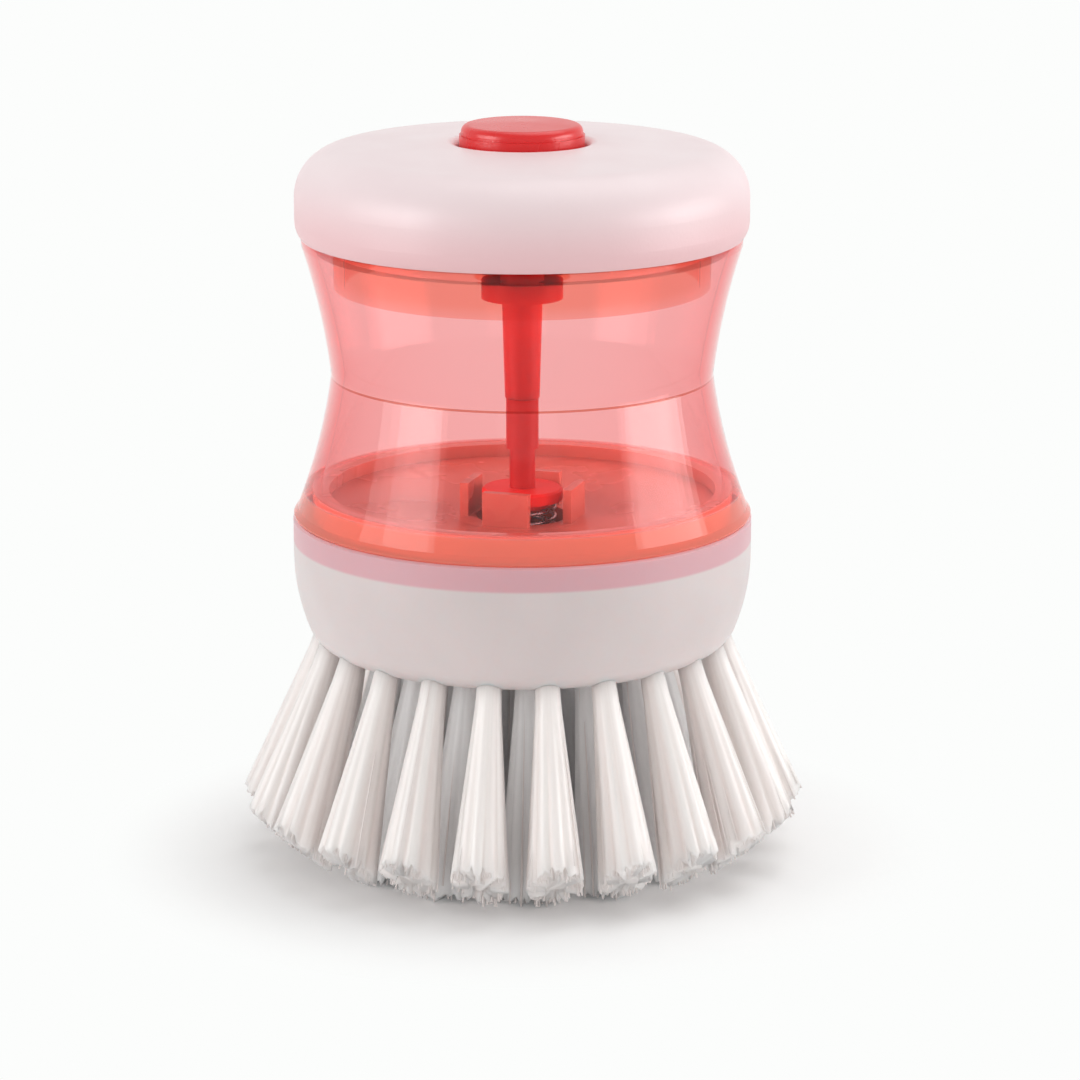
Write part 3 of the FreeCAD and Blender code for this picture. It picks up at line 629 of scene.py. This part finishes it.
@dataclass
class Bristles:
    """The three rings of tufts, each tuft a dense lobed body with loose filaments on it and past its end."""

    rings: list[TuftRing] = field(default_factory=lambda: [
        TuftRing(
            "outer", count=22, root_circle=27.0, splay=18.0, tip_depth=5.4, tip_width=4.5,
            filaments=70, finish=NYLON_TUFT, seed=11,
        ),
        TuftRing(
            "middle", count=14, root_circle=18.2, splay=10.97, tip_depth=4.24, tip_width=4.5,
            filaments=60, finish=NYLON_PAINTED_LIGHTER, seed=12,
        ),
        TuftRing(
            "inner", count=8, root_circle=10.2, splay=6.0, tip_depth=3.6, tip_width=3.9,
            filaments=45, finish=NYLON_PAINTED_LIGHTER, seed=13,
        ),
    ])
    first_turn: float = 15.4
    underside: float = field(default_factory=lambda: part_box("brush_head")[0].z / MM)
    root_radius: float = 1.55
    in_hole: float = 2.0
    trim_flat: float = 30.0
    trim_slope: float = 42.0
    lobes: int = 10
    lobe_depth: float = 0.6
    # The strands' ends are looked for between these shares of the way to the table, in this many steps.
    cut_between: Span = (0.3, 1.3)
    cut_steps: int = 24
    filament_radius: float = 0.15
    filament_spread: Span = (0.9, 1.1)
    filament_sides: int = 4
    filament_spans: int = 5
    # A filament's place from the middle of its tuft: under a half, most of them lie near the outside.
    outward_bias: float = 0.2
    jitter: float = 0.03
    # Filaments start this deep in the tuft's body, as shares of its width, and come out towards the tip.
    root_share: Span = (0.6, 0.95)
    clumps: int = 9
    clump_pull: float = 0.12
    # How far filaments end short of the cut, on average.
    ragged: float = 0.45
    bow: float = 0.08
    stray_share: float = 0.03
    stray_spread: float = 0.45
    # Inside a tuft the filaments lie so close that the eye sees them as one ridged white body.
    body_fill: float = 1.0
    body_sides: int = 70
    body_spans: int = 6
    # The steps that round the body's end: each one's share of the length, and the width it comes in to.
    body_dome: tuple[Span, ...] = ((0.006, 0.97), (0.004, 0.8), (0.002, 0.4))
    # Each column of the body ends this far short of the cut, and by chance up to a notch more.
    body_short: float = 0.2
    body_notch: float = 1.3
    # The deepest furrow between two ridges, as a share of the width.
    body_ridge: float = 0.025

    def build(self) -> None:
        """Models one filament and one tuft's body, and lays out copies of them as the three rings."""
        filament = self.model_filament()
        body = self.model_body()
        for ring in self.rings:
            chance = np.random.default_rng(ring.seed)
            bodies, body_tones, hairs, hair_tones = [], [], [], []
            for index in range(ring.count):
                turn = math.radians(self.first_turn + 360 / ring.count * index)
                spin = np.array([
                    [math.cos(turn), -math.sin(turn), 0.0],
                    [math.sin(turn), math.cos(turn), 0.0],
                    [0.0, 0.0, 1.0],
                ])
                places, tones = self.fill(ring, body, chance)
                bodies.append(places @ spin.T)
                body_tones.append(tones)
                places, tones = self.strew(ring, filament, chance)
                hairs.extend(places @ spin.T)
                hair_tones.append(tones)
            for name, unit, copies, tones, finish in (
                ("tufts", body, bodies, body_tones, ring.finish),
                ("filaments", filament, hairs, hair_tones, NYLON),
            ):
                piece = self.join(f"{name}_{ring.name}", unit, copies, np.concatenate(tones))
                settle(piece, Body.BASE, finish, [f"bristles_{ring.name}"])

    def model_filament(self) -> Unit:
        """Models one filament, standing on the origin.

        Returns:
            The filament to copy.
        """
        bpy.ops.object.select_all(action="DESELECT")
        bpy.ops.mesh.primitive_circle_add(vertices=self.filament_sides, radius=1.0, fill_type="NGON")
        bpy.ops.object.mode_set(mode="EDIT")
        bpy.ops.mesh.select_all(action="SELECT")
        rise = 1 / self.filament_spans
        for _ in range(self.filament_spans):
            bpy.ops.mesh.extrude_region_move(TRANSFORM_OT_translate={"value": (0, 0, rise)})
        return self.take_unit(bpy.context.object)

    def model_body(self) -> Unit:
        """Models the body of a tuft, round and with a domed lower end.

        Returns:
            The body to copy.
        """
        bpy.ops.object.select_all(action="DESELECT")
        bpy.ops.mesh.primitive_circle_add(vertices=self.body_sides, radius=1.0, fill_type="NGON")
        bpy.ops.object.mode_set(mode="EDIT")
        bpy.ops.mesh.select_all(action="SELECT")
        straight = (1 - sum(rise for rise, _ in self.body_dome)) / self.body_spans
        for _ in range(self.body_spans):
            bpy.ops.mesh.extrude_region_move(TRANSFORM_OT_translate={"value": (0, 0, straight)})
        width = 1.0
        for rise, share in self.body_dome:
            bpy.ops.mesh.extrude_region_move(TRANSFORM_OT_translate={"value": (0, 0, rise)})
            bpy.ops.transform.resize(value=(share / width, share / width, 1))
            width = share
        return self.take_unit(bpy.context.object)

    def take_unit(self, model: bpy.types.Object) -> Unit:
        """Closes a model that is open for editing, and keeps its points and faces.

        Args:
            model: the modelled shape, which is removed.

        Returns:
            The shape to copy.
        """
        bpy.ops.mesh.select_all(action="SELECT")
        bpy.ops.mesh.normals_make_consistent(inside=False)
        # The copies hang mirrored, head down, so each face has to run the other way round.
        bpy.ops.mesh.flip_normals()
        bpy.ops.object.mode_set(mode="OBJECT")
        points = np.array([vertex.co for vertex in model.data.vertices])
        faces = [tuple(polygon.vertices) for polygon in model.data.polygons]
        bpy.data.objects.remove(model)
        return Unit(points, faces)

    def disc(self, count: int, chance: np.random.Generator) -> np.ndarray:
        """Spreads filaments over a disc of radius 1.

        Args:
            count: how many.
            chance: the ring's own random numbers.

        Returns:
            Two coordinates for each filament.
        """
        golden = math.pi * (3 - math.sqrt(5))
        number = np.arange(count) + 0.5
        radius = (number / count) ** self.outward_bias
        angle = number * golden + chance.uniform(0, 2 * math.pi)
        even = np.stack([radius * np.cos(angle), radius * np.sin(angle)], axis=1)
        return even + chance.normal(0, self.jitter, even.shape)

    def lobed(self, ring: TuftRing, across: np.ndarray) -> np.ndarray:
        """Draws places across a tuft's tip in, at the grooves between its lobes.

        Args:
            ring: the ring that the tuft belongs to.
            across: places across the tuft, as shares of its half width.

        Returns:
            The places in the lobed outline.
        """
        angle = np.arctan2(across[:, 1], across[:, 0])
        drop = self.lobe_depth * (1 - np.abs(np.cos(self.lobes * angle / 2)))
        return across * (1 - drop[:, None] / [ring.tip_depth, ring.tip_width])

    def place(self, ring: TuftRing, strands: Strands, share: np.ndarray) -> np.ndarray:
        """Finds points of a tuft's strands, for the tuft at the azimuth of +X.

        Args:
            ring: the ring that the tuft belongs to.
            strands: where the strands lie across the tuft.
            share: for each strand, shares of its way from the mouth of the hole to the table.

        Returns:
            A point for each share, in millimetres.
        """
        lean = math.radians(ring.splay)
        down = np.array([math.sin(lean), 0.0, -math.cos(lean)])
        outward = np.array([math.cos(lean), 0.0, math.sin(lean)])
        sideways = np.array([0.0, 1.0, 0.0])
        mouth = np.array([ring.root_circle, 0.0, self.underside])
        length = self.underside / math.cos(lean)
        fan = np.clip(share, 0, None)[..., None]
        tip = strands.at_tip * [ring.tip_depth, ring.tip_width]
        across = strands.at_root[:, None] * self.root_radius * (1 - fan) + tip[:, None] * fan
        across = across + strands.bow[:, None] * np.sin(math.pi * np.clip(fan, 0, 1))
        along = (share * length)[..., None]
        return mouth + along * down + across[..., :1] * outward + across[..., 1:] * sideways

    def trimmed(self, ring: TuftRing, strands: Strands) -> np.ndarray:
        """Finds where each strand is cut, flat in the middle and sloping up outside.

        Args:
            ring: the ring that the tuft belongs to.
            strands: where the strands lie across the tuft.

        Returns:
            For each strand, the share of its way at which it ends.
        """
        slope = math.tan(math.radians(self.trim_slope))
        shortest, longest = (np.full(len(strands.at_root), share) for share in self.cut_between)
        for _ in range(self.cut_steps):
            middle = (shortest + longest) / 2
            point = self.place(ring, strands, middle[:, None])[:, 0]
            radius = np.hypot(point[:, 0], point[:, 1])
            above = point[:, 2] > np.maximum(0.0, (radius - self.trim_flat) * slope)
            shortest = np.where(above, middle, shortest)
            longest = np.where(above, longest, middle)
        return shortest

    def scatter(self, ring: TuftRing, chance: np.random.Generator) -> tuple[Strands, np.ndarray]:
        """Lays the filaments of one tuft across it, gathered in loose clumps, with a few strays.

        Args:
            ring: the ring that the tuft belongs to.
            chance: the ring's own random numbers.

        Returns:
            Where the filaments lie, and how far each one ends short of the cut, in millimetres.
        """
        even = self.disc(ring.filaments, chance)
        centres = even[chance.integers(0, ring.filaments, self.clumps)]
        nearest = np.argmin(((even[:, None] - centres[None]) ** 2).sum(axis=2), axis=1)
        at_tip = even + (centres[nearest] - even) * self.clump_pull
        strays = chance.random(ring.filaments) < self.stray_share
        at_tip[strays] += chance.normal(0, self.stray_spread, (int(strays.sum()), 2))
        at_tip /= np.maximum(1.0, np.linalg.norm(at_tip, axis=1))[:, None]
        at_tip[~strays] = self.lobed(ring, at_tip[~strays])
        at_root = even * chance.uniform(*self.root_share, ring.filaments)[:, None]
        bow = chance.normal(0, self.bow, (ring.filaments, 2))
        short = chance.exponential(self.ragged, ring.filaments)
        short += chance.uniform(0, self.ragged, self.clumps)[nearest]
        return Strands(at_root, at_tip, bow), short

    def strew(
        self, ring: TuftRing, filament: Unit, chance: np.random.Generator,
    ) -> tuple[np.ndarray, np.ndarray]:
        """Lays out the loose filaments of one tuft, at the azimuth of +X.

        Args:
            ring: the ring that the tuft belongs to.
            filament: the filament to copy.
            chance: the ring's own random numbers.

        Returns:
            The points of each filament, in millimetres, and a tone for every point.
        """
        lean = math.radians(ring.splay)
        length = self.underside / math.cos(lean)
        start = -self.in_hole / length
        outward = np.array([math.cos(lean), 0.0, math.sin(lean)])
        sideways = np.array([0.0, 1.0, 0.0])
        strands, short = self.scatter(ring, chance)
        ends = self.trimmed(ring, strands) - short / length
        share = start + (ends[:, None] - start) * filament.points[None, :, 2]
        thick = self.filament_radius * chance.uniform(*self.filament_spread, ring.filaments)[:, None, None]
        section = filament.points[None, :, :1] * outward + filament.points[None, :, 1:2] * sideways
        places = self.place(ring, strands, share) + thick * section
        return places, np.repeat(chance.random(ring.filaments), len(filament.points))

    def fill(self, ring: TuftRing, body: Unit, chance: np.random.Generator) -> tuple[np.ndarray, np.ndarray]:
        """Lays out the ridged body of one tuft, at the azimuth of +X.

        Args:
            ring: the ring that the tuft belongs to.
            body: the body to shape.
            chance: the ring's own random numbers.

        Returns:
            The body's points, in millimetres, and a tone for every point.
        """
        length = self.underside / math.cos(math.radians(ring.splay))
        start = -self.in_hole / length
        angle = np.arctan2(body.points[:, 1], body.points[:, 0])
        ridge = np.rint(angle / (2 * math.pi) * self.body_sides).astype(int) % self.body_sides
        drawn_in = 1 - self.body_ridge * chance.random(self.body_sides)[ridge]
        across = body.points[:, :2] * self.body_fill
        strands = Strands(across, self.lobed(ring, across) * drawn_in[:, None], np.zeros_like(across))
        short = self.body_short + self.body_notch * chance.random(self.body_sides)[ridge]
        ends = self.trimmed(ring, strands) - short / length
        share = start + (ends - start) * body.points[:, 2]
        return self.place(ring, strands, share[:, None])[:, 0], chance.random(self.body_sides)[ridge]

    def join(self, name: str, unit: Unit, copies: list[np.ndarray], tones: np.ndarray) -> bpy.types.Object:
        """Makes one piece of laid-out copies of a shape.

        Args:
            name: the piece's name.
            unit: the shape that was copied.
            copies: the points of each copy, in millimetres.
            tones: a tone for every point.

        Returns:
            The finished piece.
        """
        size = len(unit.points)
        faces = [
            tuple(size * copy + corner for corner in face)
            for copy in range(len(copies))
            for face in unit.faces
        ]
        places = np.concatenate(copies) * MM
        places[:, 2] = np.maximum(places[:, 2], 0.0)
        mesh = bpy.data.meshes.new(name)
        mesh.from_pydata(places, [], faces)
        mesh.polygons.foreach_set("use_smooth", np.ones(len(faces), dtype=bool))
        tone = mesh.attributes.new(STRAND_TONE, "FLOAT", "POINT")
        tone.data.foreach_set("value", tones.astype(np.float32))
        mesh.update()
        piece = bpy.data.objects.new(name, mesh)
        bpy.context.scene.collection.objects.link(piece)
        return piece


@dataclass
class Spring:
    """The valve's return spring, wound from round wire, in millimetres."""

    wire_radius: float = 0.3
    turns: float = 4.5
    section_sides: int = 12
    steps_in_turn: int = 40
    kept_when_pressed: float = 0.536
    smooth_angle: float = 50.0

    def build(self) -> None:
        """Winds the spring between its two seats and puts it on the base."""
        low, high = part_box("return_spring")
        wire = self.wire_radius * MM
        coil = high.x - wire
        rise = high.z - low.z - 2 * wire
        bpy.ops.object.select_all(action="DESELECT")
        bpy.ops.mesh.primitive_circle_add(
            vertices=self.section_sides,
            radius=wire,
            location=(coil, 0, low.z + wire),
            rotation=(math.pi / 2, 0, 0),
        )
        piece = bpy.context.object
        piece.name = "valve_spring"
        bpy.ops.object.transform_apply(location=True, rotation=True, scale=True)
        winding = piece.modifiers.new("winding", "SCREW")
        winding.axis = "Z"
        winding.angle = 2 * math.pi * self.turns
        winding.screw_offset = rise
        winding.steps = winding.render_steps = round(self.turns * self.steps_in_turn)
        bpy.ops.object.modifier_apply(modifier=winding.name)
        edit(piece)
        bpy.ops.mesh.select_mode(type="EDGE")
        bpy.ops.mesh.select_non_manifold()
        bpy.ops.mesh.edge_face_add()
        bpy.ops.mesh.select_all(action="SELECT")
        bpy.ops.mesh.normals_make_consistent(inside=False)
        bpy.ops.object.mode_set(mode="OBJECT")
        bpy.ops.object.shade_smooth_by_angle(angle=math.radians(self.smooth_angle))
        settle(piece, Body.BASE, SPRING_STEEL, ["return_spring"])
        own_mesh(piece)


@dataclass
class Head:
    """The brush head, with its tufts and the anchors that hold them."""

    # How far the floor's skirt reaches down behind the head's wall, and how soft its edge looks.
    skirt_below: float = 3.3 * MM
    skirt_blur: float = 0.5 * MM
    bristles: Bristles = field(default_factory=Bristles)

    def build(self) -> None:
        """Models the tufts and dresses the head."""
        self.bristles.build()
        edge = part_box("reservoir")[0].z - self.skirt_below
        # Moulded polypropylene: a warm milky white, satin, with the red skirt behind its upper edge.
        white = BackedPlastic(
            "moulded_polypropylene_head", "DFD3D2", "DBCFCE", backing="DCACB3", glow=0.6, glow_mm=2.0,
            bare_level=edge - self.skirt_blur / 2, backed_level=edge + self.skirt_blur / 2,
        )
        dress("brush_head", white)
        dress("tuft_anchors", ANCHOR_STRIP)


@dataclass
class Reservoir:
    """The transparent body, its floor and their gaskets."""

    # How far the thick foot of the wall reaches up, how soft its end looks, and where the waist is.
    foot_height: float = 3.7 * MM
    foot_blur: float = 0.4 * MM
    waist_height: float = 19.4 * MM
    waist_radius: float = 25.0 * MM

    def build(self) -> None:
        """Dresses the body and its floor."""
        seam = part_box("reservoir")[0].z
        foot_end = seam + self.foot_height
        # Transparent styrene: glassy, salmon pink through one wall and deeper through two.
        clear = CreaseShadedPlastic(
            "transparent_styrene_red", lets_through="FCD2D2", wall_mm=1.9,
            thick_tint="FF9580", thick_clear=0.45, thick_level=foot_end - self.foot_blur, thin_level=foot_end,
            # The line at the waist is painted shade along the front of the crease.
            line="C86650", line_level=seam + self.waist_height, line_radius=self.waist_radius,
        )
        dress("reservoir", clear)
        dress("floor_plate", TINTED_RED)
        dress("floor_gasket", RED_SILICONE)
        dress("outlet_gasket", SILICONE)


@dataclass
class Valve:
    """The rod, its disc, the spring and the poppet."""

    spring: Spring = field(default_factory=Spring)

    def build(self) -> None:
        """Winds the spring and dresses the rest."""
        self.spring.build()
        dress("valve_rod", ROD_RED)
        dress("spring_collar", ACETAL_RED_PAINTED_LIGHTER)
        dress("valve_poppet", SILICONE)
        dress("poppet_clip", SPRING_STEEL)


@dataclass
class Cap:
    """The screw cap, the closure inside it and their seals."""

    # The red inside shows through the cap's wall below this share of its height.
    bare_share: float = 0.85
    # The closure's tint fades over this length, which ends a little below its edge.
    fade_length: float = 4.0 * MM
    fade_below: float = 2.4 * MM

    def build(self) -> None:
        """Dresses the cap's pieces."""
        low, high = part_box("top_cap")
        # Moulded polypropylene: a pale rose white, satin, that reddens towards its lower edge.
        white = BackedPlastic(
            "moulded_polypropylene_cap", "F6E4E6", "F3E0E2", backing="EDC1C4",
            bare_level=low.z + (high.z - low.z) * self.bare_share, backed_level=low.z,
        )
        dress("top_cap", white)
        fade_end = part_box("cap_inner")[0].z - self.fade_below
        # Transparent polypropylene: more orange than the body, without its gloss, and paler towards its edge.
        cloudy = GradedPlastic(
            "clear_polypropylene_red", lets_through="FFEFEA", wall_mm=1.5, roughness=(0.08, 0.14), gloss=0.0,
            thick_tint="FAC4B2", thick_level=fade_end + self.fade_length, thin_level=fade_end,
        )
        dress("cap_inner", cloudy)
        dress("cap_gasket", SILICONE)
        dress("stem_seal", SILICONE)
        dress("seal_retainer", ACETAL_RED_PAINTED_LIGHTER)


@dataclass
class Button:
    """The push button and its stem."""

    def build(self) -> None:
        """Dresses the button and its stem."""
        dress("push_button", BUTTON_RED)
        dress("button_stem", STEM_RED)


@dataclass(frozen=True)
class Lamp:
    """A softbox that faces the brush: where it stands, its size in metres, and its power in watts."""

    name: str
    place: tuple[float, float, float]
    width: float
    height: float
    power: float
    use: Use = Use.ALL


@dataclass
class Studio:
    """The floor, the light and the camera."""

    camera_x: float = 2.39 * MM
    camera_distance: float = 572 * MM
    camera_height: float = 186.3 * MM
    camera_pitch: float = 14.02
    lens_mm: float = 144.26
    sensor_mm: float = 36.0
    floor_size: float = 12.0
    # The floor's look fades to plain white between these distances from the brush.
    floor_fade: Span = (0.036, 0.059)
    floor_colour: str = "FAFAFA"
    floor_lift: float = 0.09
    white: str = "FCFDFC"
    ambient: float = 0.47
    aim: tuple[float, float, float] = (0.0, 0.0, 0.06)
    lamps: tuple[Lamp, ...] = (
        Lamp("softbox_top", (0.22, 0.18, 0.9), width=0.8, height=0.8, power=3.2),
        Lamp("softbox_left", (-0.75, -0.27, 0.27), width=0.58, height=0.5, power=2.4),
        Lamp("softbox_right", (0.79, -0.11, 0.12), width=0.6, height=0.5, power=2.95),
        Lamp("softbox_front", (0.06, -0.9, 0.1), width=0.6, height=0.25, power=0.6, use=Use.FILL),
        Lamp("strip_left", (-0.72, -0.4, 0.2), width=0.42, height=0.6, power=2.4, use=Use.GLINT),
        Lamp("strip_right", (0.8, -0.06, 0.1), width=0.62, height=0.5, power=2.6, use=Use.GLINT),
    )

    def build(self) -> None:
        """Sets up the whole studio."""
        self.light_world()
        self.lay_floor()
        for lamp in self.lamps:
            self.hang(lamp)
        self.place_camera()
        bpy.context.scene.view_settings.view_transform = "Standard"

    def seen_rays(self, tree: bpy.types.NodeTree) -> bpy.types.NodeSocket:
        """A value of 1 for rays that show the background itself, by sight, gloss or glass.

        Args:
            tree: the node tree to add to.

        Returns:
            The socket that gives the value.
        """
        path = add_node(tree, "ShaderNodeLightPath")
        gloss = add_node(tree, "ShaderNodeMath", {
            0: path.outputs["Is Camera Ray"],
            1: path.outputs["Is Glossy Ray"],
        }, operation="MAXIMUM")
        glass = add_node(tree, "ShaderNodeMath", {
            0: gloss.outputs["Value"],
            1: path.outputs["Is Transmission Ray"],
        }, operation="MAXIMUM")
        return glass.outputs["Value"]

    def light_world(self) -> None:
        """Makes a white surround that lights the brush more softly than it looks."""
        world = bpy.data.worlds.new("white_surround")
        bpy.context.scene.world = world
        world.use_nodes = True
        tree = world.node_tree
        tree.nodes.clear()
        strength = add_node(tree, "ShaderNodeMapRange", {
            "Value": self.seen_rays(tree),
            "To Min": self.ambient,
            "To Max": 1.0,
        })
        white = add_node(tree, "ShaderNodeBackground", {
            "Color": linear(self.white),
            "Strength": strength.outputs["Result"],
        })
        add_node(tree, "ShaderNodeOutputWorld", {"Surface": white.outputs["Background"]})

    def lay_floor(self) -> None:
        """Lays a pale floor that keeps the brush's shadow and fades to white away from it."""
        bpy.ops.object.select_all(action="DESELECT")
        bpy.ops.mesh.primitive_plane_add(size=self.floor_size)
        floor = bpy.context.object
        floor.name = "studio_floor"
        paper = bpy.data.materials.new("white_paper")
        paper.use_nodes = True
        tree = paper.node_tree
        tree.nodes.clear()
        seen = self.seen_rays(tree)
        matt = add_node(tree, "ShaderNodeBsdfDiffuse", {"Color": linear(self.floor_colour)})
        lift = add_node(tree, "ShaderNodeMath", {0: seen, 1: self.floor_lift}, operation="MULTIPLY")
        glow = add_node(tree, "ShaderNodeEmission", {"Strength": lift.outputs["Value"]})
        near = add_node(tree, "ShaderNodeAddShader", {0: matt.outputs["BSDF"], 1: glow.outputs["Emission"]})
        place = add_node(tree, "ShaderNodeTexCoord")
        away = add_node(tree, "ShaderNodeVectorMath", {0: place.outputs["Object"]}, operation="LENGTH")
        start, end = self.floor_fade
        fade = add_node(tree, "ShaderNodeMapRange", {
            "Value": away.outputs["Value"],
            "From Min": start,
            "From Max": end,
        }, interpolation_type="SMOOTHSTEP")
        plain = add_node(tree, "ShaderNodeMath", {0: seen, 1: fade.outputs["Result"]}, operation="MULTIPLY")
        far = add_node(tree, "ShaderNodeEmission", {"Color": linear(self.white), "Strength": 1.0})
        both = add_node(tree, "ShaderNodeMixShader", {
            0: plain.outputs["Value"],
            1: near.outputs["Shader"],
            2: far.outputs["Emission"],
        })
        add_node(tree, "ShaderNodeOutputMaterial", {"Surface": both.outputs["Shader"]})
        floor.data.materials.append(paper)

    def hang(self, lamp: Lamp) -> None:
        """Puts up one softbox, turned to the brush.

        Args:
            lamp: the softbox.
        """
        light = bpy.data.lights.new(lamp.name, "AREA")
        light.shape = "RECTANGLE"
        light.size = lamp.width
        light.size_y = lamp.height
        light.energy = lamp.power
        holder = bpy.data.objects.new(lamp.name, light)
        holder.visible_glossy = lamp.use is not Use.FILL
        holder.visible_diffuse = lamp.use is not Use.GLINT
        holder.location = lamp.place
        holder.rotation_euler = (Vector(self.aim) - Vector(lamp.place)).to_track_quat("-Z", "Y").to_euler()
        bpy.context.scene.collection.objects.link(holder)

    def place_camera(self) -> None:
        """Puts the camera where the photograph was taken from."""
        camera = bpy.data.cameras.new("photo_camera")
        camera.lens = self.lens_mm
        camera.sensor_width = self.sensor_mm
        holder = bpy.data.objects.new("photo_camera", camera)
        holder.location = (self.camera_x, -self.camera_distance, self.camera_height)
        holder.rotation_euler = (math.radians(90 - self.camera_pitch), 0, 0)
        bpy.context.scene.collection.objects.link(holder)
        bpy.context.scene.camera = holder


def main() -> None:
    """Builds the brush from its head up and sets up the studio round it."""
    logging.basicConfig(level=logging.INFO, format="%(message)s")
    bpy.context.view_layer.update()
    for part in (Head(), Reservoir(), Valve(), Cap(), Button(), Studio()):
        part.build()
        LOG.info("%s done", type(part).__name__)


if __name__ == "__main__":
    main()
